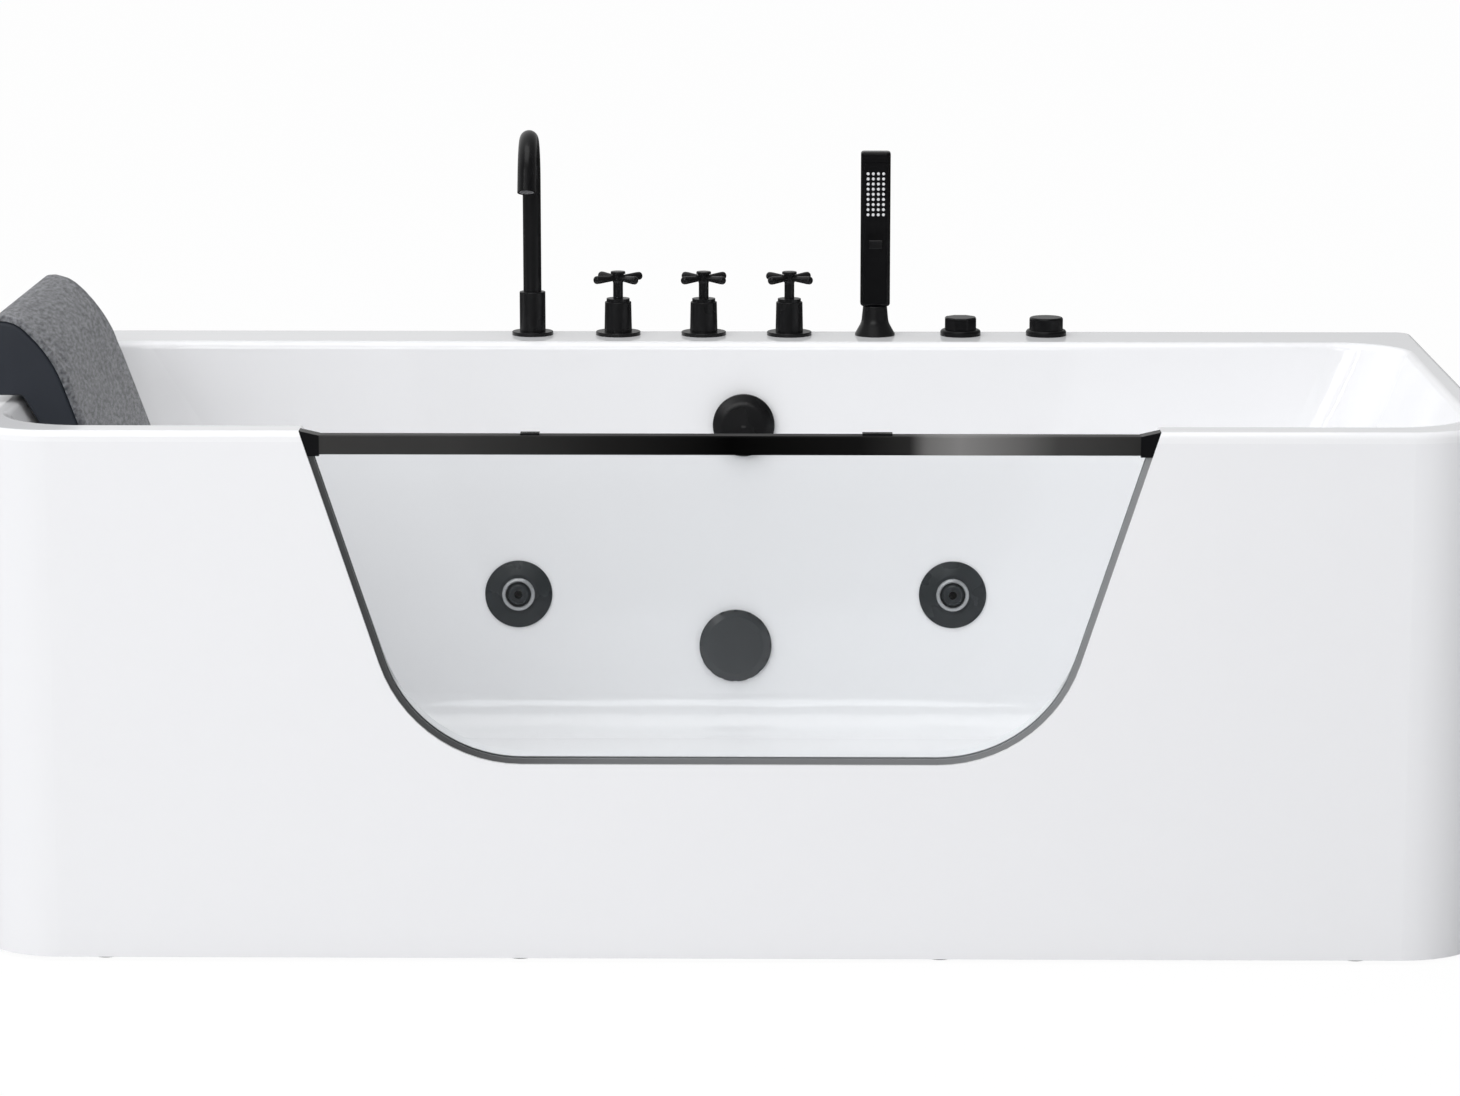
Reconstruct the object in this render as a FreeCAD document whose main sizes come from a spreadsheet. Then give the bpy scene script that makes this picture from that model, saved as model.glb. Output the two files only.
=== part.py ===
import FreeCAD, Part
import math
import os
import re

import Sketcher
from FreeCAD import Placement, Rotation, Vector

# Jetted bathtub with a glass front, built as separate pieces.
# Millimetres. X runs along the tub from the head end (-X) to the foot end (+X), Y from the
# glass front (-Y) to the wall side (+Y), Z up. The origin is on the floor under the middle.

# ---------------------------------------------------------------------------
# Driving dimensions
# ---------------------------------------------------------------------------

SIZES = {
    # tub outline and laminate
    "tub_length": 1700,
    "tub_width": 800,
    "rim_height": 600,
    "front_corner_radius": 100,
    "back_corner_radius": 20,
    "skin": 8,
    "rim_lip": 12,
    "rim_round": 7,
    # basin
    "front_rim": 48,
    "back_deck": 105,
    "head_rim": 38,
    "foot_rim": 27,
    "basin_front_corner": 90,
    "basin_back_corner": 80,
    "basin_floor_corner": 120,
    "floor_height": 115,
    "head_slope": 30,
    "foot_slope": 22,
    "side_slope": 4,
    "basin_lip_round": 10,
    "floor_round": 50,
    # apron
    "skirt_clearance": 4,
    "skirt_return": 26,
    # window
    "window_half_width": 472,
    "window_sill": 226,
    "window_slope": 18,
    "window_corner": 165,
    "glass_thickness": 10,
    "glass_recess": 7,
    "glass_arris": 1,
    "seal_width": 6,
    "seal_bite": 3,
    "seal_depth": 16,
    # rail on the glass
    "rail_half_length": 450,
    "rail_depth": 19,
    "rail_height": 21,
    "rail_drop": 5,
    "rail_roof": 4,
    "rail_edge_round": 1.5,
    "rail_clip_rise": 2,
    "rail_clip_reach": 12,
    "left_clip_x": -219,
    "left_clip_width": 21,
    "right_clip_x": 162,
    "right_clip_width": 33,
    # head pillow
    "pillow_length": 400,
    "pillow_gap": 8,
    "pillow_set_back": 10,
    "pillow_rise": 99.5,
    "pillow_crown_inset": 39,
    "pillow_brow_angle": 45,
    "pillow_front_angle": 70,
    "pillow_front_inset": 103.5,
    "pillow_drop": 130,
    "pillow_crown_round": 45,
    "pillow_brow_round": 160,
    "pillow_edge_round": 8,
    "pad_thickness": 7,
    "cup_radius": 11,
    "cup_neck_radius": 4,
    "cup_spacing": 240,
    "cup_wall_drop": 75,
    # row of fittings on the deck
    "deck_row_inset": 36,
    "fitting_pitch": 107.5,
    "row_centre": 66.5,
    "flange_radius": 28,
    "flange_thickness": 4.5,
    "edge_round": 1,
    "shank_radius": 13,
    "shank_play": 1,
    "shank_length": 46,
    "nut_width": 36,
    "nut_height": 9,
    "run_fit": 0.05,
    "free_gap": 0.3,
    # spout
    "spout_collar_radius": 16.2,
    "spout_collar_height": 50,
    "spout_flange_radius": 25.8,
    "water_bore": 6.5,
    "tail_length": 24,
    "spout_radius": 11.35,
    "spout_bore": 9.3,
    "spout_seat": 8,
    "spout_height": 262,
    "spout_bend": 55,
    "spout_lean": 22,
    "spout_mouth": 27,
    "aerator_length": 9,
    "aerator_hole": 1.8,
    "aerator_ring": 5.4,
    # valves and cross handles
    "valve_foot_radius": 17.3,
    "valve_top_radius": 16.5,
    "valve_height": 37.5,
    "collar_radius": 14.5,
    "collar_height": 4,
    "stem_radius": 6.2,
    "stem_depth": 18,
    "handle_height": 80,
    "handle_cap_radius": 9.2,
    "handle_cap_height": 3,
    "arm_height": 71.5,
    "arm_length": 37,
    "arm_root_radius": 3.2,
    "arm_tip_radius": 5,
    "hot_handle_turn": 40,
    "diverter_handle_turn": 45,
    "cold_handle_turn": 48,
    "valve_body_radius": 16,
    "valve_body_length": 50,
    "inlet_radius": 10.5,
    "inlet_length": 14,
    "inlet_collar_radius": 13,
    "inlet_collar_length": 2,
    "inlet_drop": 80,
    "branch_radius": 7.5,
    "branch_drop": 70,
    "spout_branch_drop": 58,
    "shower_branch_drop": 82,
    "branch_reach": 24,
    "feed_set_forward": 44,
    "feed_bend": 14,
    # hand shower
    "holder_radius": 25,
    "holder_top_radius": 15,
    "holder_height": 37,
    "cone_radius": 11.5,
    "cone_tip_radius": 9.5,
    "cone_length": 26,
    "handset_width": 37,
    "handset_depth": 24,
    "handset_height": 194,
    "handset_corner": 5,
    "handset_foot_round": 4,
    "shower_cap_height": 13.5,
    "nozzle_columns": 4,
    "nozzle_rows": 9,
    "nozzle_pitch": 6.4,
    "nozzle_radius": 1.9,
    "nozzle_rise": 0.8,
    "nozzle_top_drop": 27,
    "selector_width": 17.6,
    "selector_height": 20,
    "selector_drop": 101,
    "selector_slot": 3.5,
    "selector_travel": 9,
    "selector_play": 0.35,
    "selector_rise": 1.2,
    # air regulator and pump button
    "ring_radius": 25.3,
    "ring_height": 7.5,
    "cap_radius": 21,
    "cap_height": 23,
    "cap_play": 0.4,
    "button_travel": 4,
    "ring_roll": 3.5,
    "cap_round": 2.5,
    "knob_corner": 4,
    "knob_stem_radius": 6,
    "knob_stem_length": 16,
    "button_well": 5,
    "air_spigot_radius": 8,
    "air_spigot_length": 20,
    # overflow and drain
    "overflow_x": 10,
    "overflow_z": 498,
    "overflow_radius": 38.5,
    "overflow_cap_stand": 4.5,
    "overflow_cap_depth": 12,
    "overflow_hole": 27,
    "overflow_stem_depth": 24,
    "overflow_cup_depth": 40,
    "overflow_port_reach": 18,
    "overflow_pipe_radius": 14,
    "overflow_socket_reach": 40,
    "overflow_bend": 24,
    "drain_hole": 28,
    "drain_flange_radius": 35,
    "drain_flange_rise": 2.5,
    "drain_bore": 23,
    "drain_wall": 3,
    "plug_radius": 27,
    "plug_rise": 4,
    "plug_stem_radius": 4,
    "plug_travel": 10,
    "waste_radius": 20,
    "waste_height": 39,
    "waste_collar_radius": 24,
    "waste_collar_length": 4,
    "waste_end": 340,
    # suction fitting and jets on the back wall
    "jet_spread": 271,
    "jet_z": 286,
    "jet_flange_radius": 42,
    "jet_flange_edge": 2.5,
    "jet_flange_rise": 5,
    "jet_ring_radius": 20.5,
    "jet_ring_rise": 9,
    "jet_ring_depth": 14,
    "jet_notches": 12,
    "jet_ball_radius": 15.5,
    "jet_ball_flat": 11,
    "jet_bore": 5,
    "jet_body_radius": 24.5,
    "jet_hole": 25.5,
    "jet_body_depth": 54,
    "jet_nut_radius": 32,
    "jet_nut_depth": 9,
    "water_port_back": 33,
    "water_port_reach": 40,
    "air_port_radius": 10,
    "air_port_reach": 8,
    "suction_z": 222,
    "suction_radius": 45,
    "suction_rise": 11,
    "suction_hole": 23,
    "suction_slots": 16,
    "suction_bevel": 10,
    "suction_step_y": 17,
    "suction_step_depth": 0.8,
    "suction_slot_width": 5,
    "suction_nut_radius": 36,
    "suction_chamber_radius": 32,
    "suction_chamber_depth": 66,
    "suction_port_back": 37,
    "suction_port_reach": 44,
    # pipework and pump
    "water_pipe_radius": 16,
    "water_pipe_z": 345,
    "air_pipe_radius": 8,
    "suction_pipe_radius": 25,
    "suction_pipe_inset": 68,
    "suction_bend": 30,
    "water_bend": 26,
    "pipe_gap": 1.2,
    "pump_end_inset": 90,
    "pump_wall_inset": 100,
    "pump_radius": 75,
    "motor_radius": 60,
    "fin_pitch": 14,
    "fin_depth": 4,
    "wet_end_length": 65,
    "motor_length": 185,
    "pump_spigot": 8,
    "pump_outlet_reach": 87,
    "pump_clearance": 5,
    "box_width": 100,
    "box_height": 110,
    "box_depth": 45,
    "gland_radius": 7,
    "gland_length": 14,
    "box_z": 380,
    # base board, frame and feet
    "board_thickness": 12,
    "tube_size": 25,
    "frame_gap": 8,
    "frame_height": 70,
    "inner_member_x": 420,
    "drain_member_x": 150,
    "pump_member_inset": 190,
    "post_size": 20,
    "front_post_x": 700,
    "rear_post_x": 420,
    "tube_wall": 2,
    "board_inset": 40,
    "inner_foot_x": 235,
    "tray_thickness": 3,
    "foot_radius": 19,
    "foot_height": 12,
    "stud_radius": 6,
    "foot_nut_width": 19,
    "foot_nut_height": 8,
}


def formula(text):
    """A text in which each word that names a size points at its cell of the sheet."""
    def cell(word):
        return "sizes." + word.group() if word.group() in SIZES else word.group()
    return re.sub(r"[a-z][a-z_]*", cell, text)


doc = FreeCAD.newDocument("JettedBathtub")
sheet = doc.addObject("Spreadsheet::Sheet", "sizes")
for row, (alias, number) in enumerate(SIZES.items(), start=1):
    sheet.set(f"A{row}", alias)
    sheet.set(f"B{row}", str(number))
    sheet.setAlias(f"B{row}", alias)
doc.recompute()

NODES = []


def value(text):
    """The number that a text of sizes gives now."""
    result = sheet.evalExpression(formula(text))
    return float(getattr(result, "Value", result))


def bind(thing, prop, text):
    """Ties one property of an object to a text of sizes."""
    thing.setExpression(prop, formula(text))


# ---------------------------------------------------------------------------
# Helpers: sketches, bodies and placements
# ---------------------------------------------------------------------------

def place(thing, x="0", y="0", z="0", axis=Vector(0, 0, 1), angle=None):
    """Puts an object at a point, turned about an axis."""
    turn = Rotation(axis, value(angle)) if angle else Rotation()
    thing.Placement = Placement(Vector(value(x), value(y), value(z)), turn)
    bind(thing, "Placement.Base.x", x)
    bind(thing, "Placement.Base.y", y)
    bind(thing, "Placement.Base.z", z)
    if angle:
        bind(thing, "Placement.Rotation.Angle", angle)
    return thing


def node(thing, label):
    """Names a finished sub-part and lists it for export."""
    thing.Label = label
    NODES.append(thing)
    return thing


def new_body(label):
    return doc.addObject("PartDesign::Body", label + "_body")


def empty_sketch(body, name, plane, offset="0", lift="0"):
    """A sketch on one of the body's own origin planes, moved along its normal by offset."""
    sketch = body.newObject("Sketcher::SketchObject", name)
    support = [item for item in body.Origin.OriginFeatures if item.Role == plane][0]
    sketch.AttachmentSupport = (support, [""])
    sketch.MapMode = "FlatFace"
    sketch.AttachmentOffset = Placement(Vector(0, value(lift), value(offset)), Rotation())
    bind(sketch, "AttachmentOffset.Base.y", lift)
    bind(sketch, "AttachmentOffset.Base.z", offset)
    return sketch


def pin_point(sketch, geometry, position, x, y):
    """Holds a point of the sketch at distances from its origin."""
    for kind, text in (("DistanceX", x), ("DistanceY", y)):
        number = sketch.addConstraint(
            Sketcher.Constraint(kind, -1, 1, geometry, position, value(text)))
        bind(sketch, f"Constraints[{number}]", text)


def add_loop(sketch, corners, closed=True):
    """Draws an outline of straight runs. A corner is (x, y) or (x, y, radius)."""
    points = [Vector(value(corner[0]), value(corner[1]), 0) for corner in corners]
    count = len(points)
    starts, ends, arcs = [], [], {}
    for index, corner in enumerate(corners):
        here = points[index]
        if len(corner) == 2:
            starts.append(here)
            ends.append(here)
            continue
        radius = value(corner[2])
        back = (points[index - 1] - here).normalize()
        ahead = (points[(index + 1) % count] - here).normalize()
        half = back.getAngle(ahead) / 2
        reach = radius / math.tan(half)
        centre = here + (back + ahead).normalize() * (radius / math.sin(half))
        ends.append(here + back * reach)
        starts.append(here + ahead * reach)
        turns_left = back.cross(ahead).z < 0
        first, last = (ends[-1], starts[-1]) if turns_left else (starts[-1], ends[-1])
        low = math.atan2(first.y - centre.y, first.x - centre.x)
        high = math.atan2(last.y - centre.y, last.x - centre.x)
        if high < low:
            high += 2 * math.pi
        circle = Part.Circle(centre, Vector(0, 0, 1), radius)
        arcs[index] = (Part.ArcOfCircle(circle, low, high), turns_left)
    lines = [sketch.addGeometry(Part.LineSegment(starts[i], ends[(i + 1) % count]))
             for i in range(count if closed else count - 1)]
    for index, corner in enumerate(corners):
        if not closed and index in (0, count - 1):
            end = (lines[0], 1) if index == 0 else (lines[-1], 2)
            pin_point(sketch, *end, corner[0], corner[1])
            continue
        before = lines[index - 1]
        after = lines[index]
        if len(corner) == 2:
            sketch.addConstraint(Sketcher.Constraint("Coincident", before, 2, after, 1))
            pin_point(sketch, after, 1, corner[0], corner[1])
            continue
        curve, turns_left = arcs[index]
        arc = sketch.addGeometry(curve)
        enter, leave = (1, 2) if turns_left else (2, 1)
        sketch.addConstraint(Sketcher.Constraint("Tangent", before, 2, arc, enter))
        sketch.addConstraint(Sketcher.Constraint("Tangent", arc, leave, after, 1))
        apex = sketch.addGeometry(Part.Point(points[index]), True)
        sketch.addConstraint(Sketcher.Constraint("PointOnObject", apex, 1, before))
        sketch.addConstraint(Sketcher.Constraint("PointOnObject", apex, 1, after))
        pin_point(sketch, apex, 1, corner[0], corner[1])
        number = sketch.addConstraint(Sketcher.Constraint("Radius", arc, value(corner[2])))
        bind(sketch, f"Constraints[{number}]", corner[2])


def outline(body, name, plane, corners, offset="0", lift="0", closed=True):
    """A sketch of one outline."""
    sketch = empty_sketch(body, name, plane, offset, lift)
    add_loop(sketch, corners, closed)
    return sketch


def outlines(body, name, plane, loops, offset="0"):
    """A sketch of several closed outlines."""
    sketch = empty_sketch(body, name, plane, offset)
    for corners in loops:
        add_loop(sketch, corners)
    return sketch


def box_corners(low_x, high_x, low_y, high_y):
    """The four corners of an upright rectangle."""
    return [(low_x, low_y), (high_x, low_y), (high_x, high_y), (low_x, high_y)]


def circles(body, name, plane, rounds, offset="0"):
    """A sketch of whole circles, each given as (x, y, radius)."""
    sketch = empty_sketch(body, name, plane, offset)
    for x, y, radius in rounds:
        circle = Part.Circle(Vector(value(x), value(y), 0), Vector(0, 0, 1), value(radius))
        index = sketch.addGeometry(circle)
        pin_point(sketch, index, 3, x, y)
        number = sketch.addConstraint(Sketcher.Constraint("Radius", index, value(radius)))
        bind(sketch, f"Constraints[{number}]", radius)
    return sketch


def pad(body, name, sketch, length, against=False, both=False):
    """Adds material along the sketch's normal, or against it."""
    feature = body.newObject("PartDesign::Pad", name)
    feature.Profile = sketch
    feature.Reversed = against
    feature.Midplane = both
    bind(feature, "Length", length)
    body.Tip = feature
    return feature


def pocket(body, name, sketch, length, against=False):
    """Takes material away against the sketch's normal, or along it if against is set."""
    before = body.Tip
    doc.recompute()
    feature = body.newObject("PartDesign::Pocket", name)
    feature.Profile = sketch
    feature.Reversed = against
    bind(feature, "Length", length)
    body.Tip = feature
    doc.recompute()
    if feature.Shape.isNull() or feature.Shape.Volume >= before.Shape.Volume:
        raise RuntimeError(name + " cuts nothing")
    return feature


def dress(body, name, kind, size, picks):
    """Rounds or bevels the edges of the body's last feature that picks accepts."""
    doc.recompute()
    base = body.Tip
    edges = [f"Edge{i}" for i, edge in enumerate(base.Shape.Edges, start=1) if picks(edge)]
    if not edges:
        raise RuntimeError(name + " finds no edge")
    feature = body.newObject("PartDesign::" + kind, name)
    feature.Base = (base, edges)
    bind(feature, "Radius" if kind == "Fillet" else "Size", size)
    body.Tip = feature
    doc.recompute()
    return feature


def at_height(text, inside=None):
    """Accepts edges that lie wholly at one height, and inside a test of their middle."""
    level = value(text)

    def picks(edge):
        box = edge.BoundBox
        if abs(box.ZMin - level) > 0.01 or abs(box.ZMax - level) > 0.01:
            return False
        return inside is None or inside(box.Center)
    return picks


def group(name, members):
    """Several separate solids that count as one sub-part."""
    bundle = doc.addObject("Part::Compound", name)
    bundle.Links = members
    return bundle


def turned(label, corners):
    """A body turned about its own Z axis from half an outline in (radius, height)."""
    body = new_body(label)
    sketch = outline(body, label + "_outline", "XZ_Plane", corners)
    feature = body.newObject("PartDesign::Revolution", label + "_turned")
    feature.Profile = sketch
    feature.ReferenceAxis = (sketch, ["V_Axis"])
    feature.Angle = 360
    body.Tip = feature
    return body


# ---------------------------------------------------------------------------
# Tub shell: basin, rim and deck in one moulding, with the reveal of the window
# ---------------------------------------------------------------------------

END = "(tub_length / 2)"
SIDE = "(tub_width / 2)"
DEPTH = "(rim_height - floor_height)"
BASIN_HEAD = f"({END} - head_rim)"
BASIN_FOOT = f"({END} - foot_rim)"
BASIN_FRONT = f"({SIDE} - front_rim)"
BASIN_BACK = f"({SIDE} - back_deck)"
DECK_Y = f"({SIDE} - deck_row_inset)"


def row_x(index):
    """X of a fitting, counted from the middle of the row of seven."""
    return f"(row_centre + {index} * fitting_pitch)"


def basin_corners(depth, grow, corner_front, corner_back):
    """The basin's plan at a depth under the rim, grown outward by a wall."""
    head = f"(-{BASIN_HEAD} + {depth} * tan(head_slope) - {grow} / cos(head_slope))"
    foot = f"({BASIN_FOOT} - {depth} * tan(foot_slope) + {grow} / cos(foot_slope))"
    front = f"(-{BASIN_FRONT} + {depth} * tan(side_slope) - {grow} / cos(side_slope))"
    back = f"({BASIN_BACK} - {depth} * tan(side_slope) + {grow} / cos(side_slope))"
    return [(head, front, corner_front), (foot, front, corner_front),
            (foot, back, corner_back), (head, back, corner_back)]


def basin_loft(body, name, kind, grow, depth):
    """A tapering tub form from the rim down to a depth, with plan corners that open out."""
    top = outline(body, name + "_rim_plan", "XY_Plane",
                  basin_corners("0", grow, f"basin_front_corner + {grow}",
                                f"basin_back_corner + {grow}"), "rim_height")
    low = outline(body, name + "_floor_plan", "XY_Plane",
                  basin_corners(depth, grow, f"basin_floor_corner + {grow}",
                                f"basin_floor_corner + {grow}"), f"rim_height - {depth}")
    loft = body.newObject("PartDesign::" + kind, name)
    loft.Profile = top
    loft.Sections = [low]
    loft.Ruled = True
    body.Tip = loft
    return loft


def window_corners(inset, top):
    """The window's outline in (X, Z), open shape closed along a top line, drawn inset."""
    lean = "tan(window_slope)"
    shift = f"({inset}) / cos(window_slope)"
    upper = f"(window_half_width - (rim_height - ({top})) * {lean} - {shift})"
    lower = (f"(window_half_width - (rim_height - window_sill - ({inset})) * {lean}"
             f" - {shift})")
    sill = f"(window_sill + ({inset}))"
    radius = f"(window_corner - ({inset}))"
    return [("-" + upper, top), ("-" + lower, sill, radius),
            (lower, sill, radius), (upper, top)]


def take_away(body, name, tool):
    """Cuts another body's solid out of this one."""
    doc.recompute()
    before = body.Tip.Shape.Volume
    feature = body.newObject("PartDesign::Boolean", name)
    feature.Type = "Cut"
    feature.setObjects([tool])
    body.Tip = feature
    doc.recompute()
    if feature.Shape.isNull() or feature.Shape.Volume >= before:
        raise RuntimeError(name + " cuts nothing")
    return feature


def basin_space():
    """The water space itself: a tapering tub form with its floor edge rounded."""
    space = new_body("basin_space")
    basin_loft(space, "basin_inside", "AdditiveLoft", "0", DEPTH)
    dress(space, "floor_rounding", "Fillet", "floor_round", at_height("floor_height"))
    return space


def tub_shell():
    body = new_body("tub_shell")
    plan = outline(body, "deck_plan", "XY_Plane",
                   [(f"-{END}", f"-{SIDE}", "front_corner_radius"),
                    (END, f"-{SIDE}", "front_corner_radius"),
                    (END, SIDE, "back_corner_radius"),
                    (f"-{END}", SIDE, "back_corner_radius")], "rim_height - rim_lip")
    pad(body, "deck_plate", plan, "rim_lip")
    dress(body, "rim_rounding", "Fillet", "rim_round", at_height("rim_height"))
    basin_loft(body, "basin_outside", "AdditiveLoft", "skin", f"({DEPTH} + skin)")
    dress(body, "basin_underside_rounding", "Fillet", "floor_round + skin",
          at_height("floor_height - skin"))
    reveal = outline(body, "reveal_outline", "XZ_Plane",
                     window_corners("-skin", "rim_height - rim_lip"),
                     f"{BASIN_FRONT} - {DEPTH} * tan(side_slope)")
    pad(body, "window_reveal", reveal,
        f"front_rim + {DEPTH} * tan(side_slope) - skin")
    take_away(body, "basin_opening", basin_space())
    limit = value(BASIN_FOOT) + 1
    dress(body, "basin_lip_rounding", "Fillet", "basin_lip_round",
          at_height("rim_height", lambda middle: abs(middle.x) < limit
                    and -value(BASIN_FRONT) - 1 < middle.y < value(BASIN_BACK) + 1))
    window = outline(body, "window_outline", "XZ_Plane",
                     window_corners("0", "rim_height + rim_lip"),
                     f"{BASIN_FRONT} - {DEPTH} * tan(side_slope) - skin")
    pocket(body, "window_opening", window, f"{SIDE}", against=True)
    deck = circles(body, "deck_holes_plan", "XY_Plane",
                   [(row_x(index), DECK_Y, "shank_radius + shank_play")
                    for index in range(-3, 4)], "rim_height - 2 * rim_lip")
    pocket(body, "deck_holes", deck, "3 * rim_lip", against=True)
    wall = circles(body, "wall_holes_outline", "XZ_Plane", [
        ("-jet_spread", "jet_z", "jet_hole"), ("jet_spread", "jet_z", "jet_hole"),
        ("0", "suction_z", "suction_hole"), ("overflow_x", "overflow_z", "overflow_hole")],
        f"-{BASIN_BACK} + {DEPTH} * tan(side_slope) + skin")
    pocket(body, "wall_holes", wall, f"{DEPTH} * tan(side_slope) + 3 * skin")
    drain = circles(body, "drain_hole_plan", "XY_Plane", [("0", "0", "drain_hole")],
                    "floor_height + skin")
    pocket(body, "floor_hole", drain, "3 * skin")
    return body


# ---------------------------------------------------------------------------
# Apron: one wrap round the front and the ends, returned inward at the wall and the floor
# ---------------------------------------------------------------------------

def apron_plan(body, name, thickness, offset):
    """The U of the apron's walls, with its back edges turned inward."""
    inner_end = f"({END} - {thickness})"
    inner_front = f"({SIDE} - {thickness})"
    return_end = f"({END} - skirt_return)"
    return_back = f"({SIDE} - skin)"
    back_round = "back_corner_radius"
    inner_round = f"(front_corner_radius - {thickness})"
    half = [(END, f"-{SIDE}", "front_corner_radius"), (END, SIDE, back_round),
            (return_end, SIDE), (return_end, return_back),
            (inner_end, return_back, "back_corner_radius - skin"),
            (inner_end, f"-{inner_front}", inner_round)]
    mirrored = [("-" + corner[0],) + corner[1:] for corner in reversed(half)]
    return outline(body, name, "XY_Plane", half + mirrored, offset)


def apron_skirt():
    body = new_body("apron_skirt")
    walls = apron_plan(body, "apron_walls_plan", "skin", "skirt_clearance")
    pad(body, "apron_walls", walls, "rim_height - rim_lip - skirt_clearance")
    window = outline(body, "apron_window_outline", "XZ_Plane",
                     window_corners("0", "rim_height"), f"{SIDE} - 2 * skin")
    pocket(body, "apron_window", window, "4 * skin", against=True)
    return body


# ---------------------------------------------------------------------------
# Glass, its seal and the rail along its top
# ---------------------------------------------------------------------------

GLASS_FACE = f"({SIDE} - glass_recess)"
GLASS_BACK = f"({GLASS_FACE} - glass_thickness)"
GLASS_MIDDLE = f"({GLASS_FACE} - glass_thickness / 2)"
RAIL_TOP = "(rim_height - rail_drop)"
RAIL_BOTTOM = f"({RAIL_TOP} - rail_height)"
GLASS_TOP = f"({RAIL_TOP} - rail_roof)"
BRACKET_BOTTOM = f"({RAIL_BOTTOM} - 2)"


def window_glass():
    body = new_body("window_glass")
    pane = outline(body, "glass_outline", "XZ_Plane", window_corners("seal_bite", GLASS_TOP),
                   GLASS_BACK)
    pad(body, "pane", pane, "glass_thickness")
    front = -value(GLASS_FACE)
    back = -value(GLASS_BACK)
    low = value(RAIL_BOTTOM)
    dress(body, "polished_edge", "Chamfer", "glass_arris",
          lambda edge: edge.BoundBox.ZMin < low and (
              edge.BoundBox.YMax < front + 0.01 or edge.BoundBox.YMin > back - 0.01))
    return body


def window_seal():
    """A rubber channel that grips the glass edge and fills the cut in the apron and rim."""
    body = new_body("window_seal")
    outside = window_corners("0", BRACKET_BOTTOM)
    inside = window_corners("seal_width", BRACKET_BOTTOM)
    ring = outline(body, "seal_outline", "XZ_Plane", outside + inside[::-1],
                   f"{GLASS_MIDDLE} - seal_depth / 2")
    pad(body, "channel", ring, "seal_depth")
    groove = outline(body, "seal_groove_outline", "XZ_Plane",
                     window_corners("seal_bite", RAIL_TOP), GLASS_BACK)
    pocket(body, "glass_groove", groove, "glass_thickness", against=True)
    return body


def glass_rail():
    """A channel pressed over the glass: two legs under a roof, drawn as one section."""
    body = new_body("glass_rail")
    near = f"(-{GLASS_MIDDLE} - rail_depth / 2)"
    far = f"(-{GLASS_MIDDLE} + rail_depth / 2)"
    section = outline(body, "rail_section", "YZ_Plane", [
        (near, RAIL_BOTTOM), (f"-{GLASS_FACE}", RAIL_BOTTOM), (f"-{GLASS_FACE}", GLASS_TOP),
        (f"-{GLASS_BACK}", GLASS_TOP), (f"-{GLASS_BACK}", RAIL_BOTTOM), (far, RAIL_BOTTOM),
        (far, RAIL_TOP, "rail_edge_round"), (near, RAIL_TOP, "rail_edge_round")])
    pad(body, "channel_run", section, "2 * rail_half_length", both=True)
    return body


def rail_bracket(label, side):
    """The wedge between the rail's end and the slanted cut of the rim."""
    body = new_body(label)
    lean = "tan(window_slope)"
    low = f"{side} * (window_half_width - (rim_height - {BRACKET_BOTTOM}) * {lean})"
    corners = [(f"{side} * window_half_width", "rim_height"), (low, BRACKET_BOTTOM),
               (f"{side} * rail_half_length", BRACKET_BOTTOM),
               (f"{side} * rail_half_length", RAIL_TOP)]
    face = outline(body, label + "_face", "XZ_Plane", corners,
                   f"{GLASS_MIDDLE} - rail_depth / 2 - 0.5")
    pad(body, label + "_block", face, "rail_depth + 1")
    slot = outline(body, label + "_slot_outline", "XZ_Plane",
                   window_corners("seal_bite", GLASS_TOP), GLASS_BACK)
    pocket(body, label + "_slot", slot, "glass_thickness", against=True)
    return body


def rail_clips():
    """Two low clips that hook over the back edge of the rail."""
    clips = []
    for side in ("left", "right"):
        clip = doc.addObject("Part::Box", side + "_clip")
        bind(clip, "Length", side + "_clip_width")
        bind(clip, "Width", "rail_clip_reach")
        bind(clip, "Height", "rail_clip_rise")
        place(clip, f"{side}_clip_x - {side}_clip_width / 2",
              f"-{GLASS_MIDDLE} + rail_depth / 2 - rail_clip_reach - rail_edge_round",
              RAIL_TOP)
        clips.append(clip)
    return group("rail_clip_pair", clips)


# ---------------------------------------------------------------------------
# Head pillow: a moulded core on suction cups, with a soft pad over its top and front
# ---------------------------------------------------------------------------

PILLOW_TOP = "(rim_height + pillow_rise)"
PILLOW_FOOT = "(rim_height - pillow_drop)"
PILLOW_BACK = f"(-{END} + pillow_set_back)"
PILLOW_CROWN = f"(-{END} + pillow_crown_inset)"
PILLOW_FRONT = f"(-{END} + pillow_front_inset)"


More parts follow.
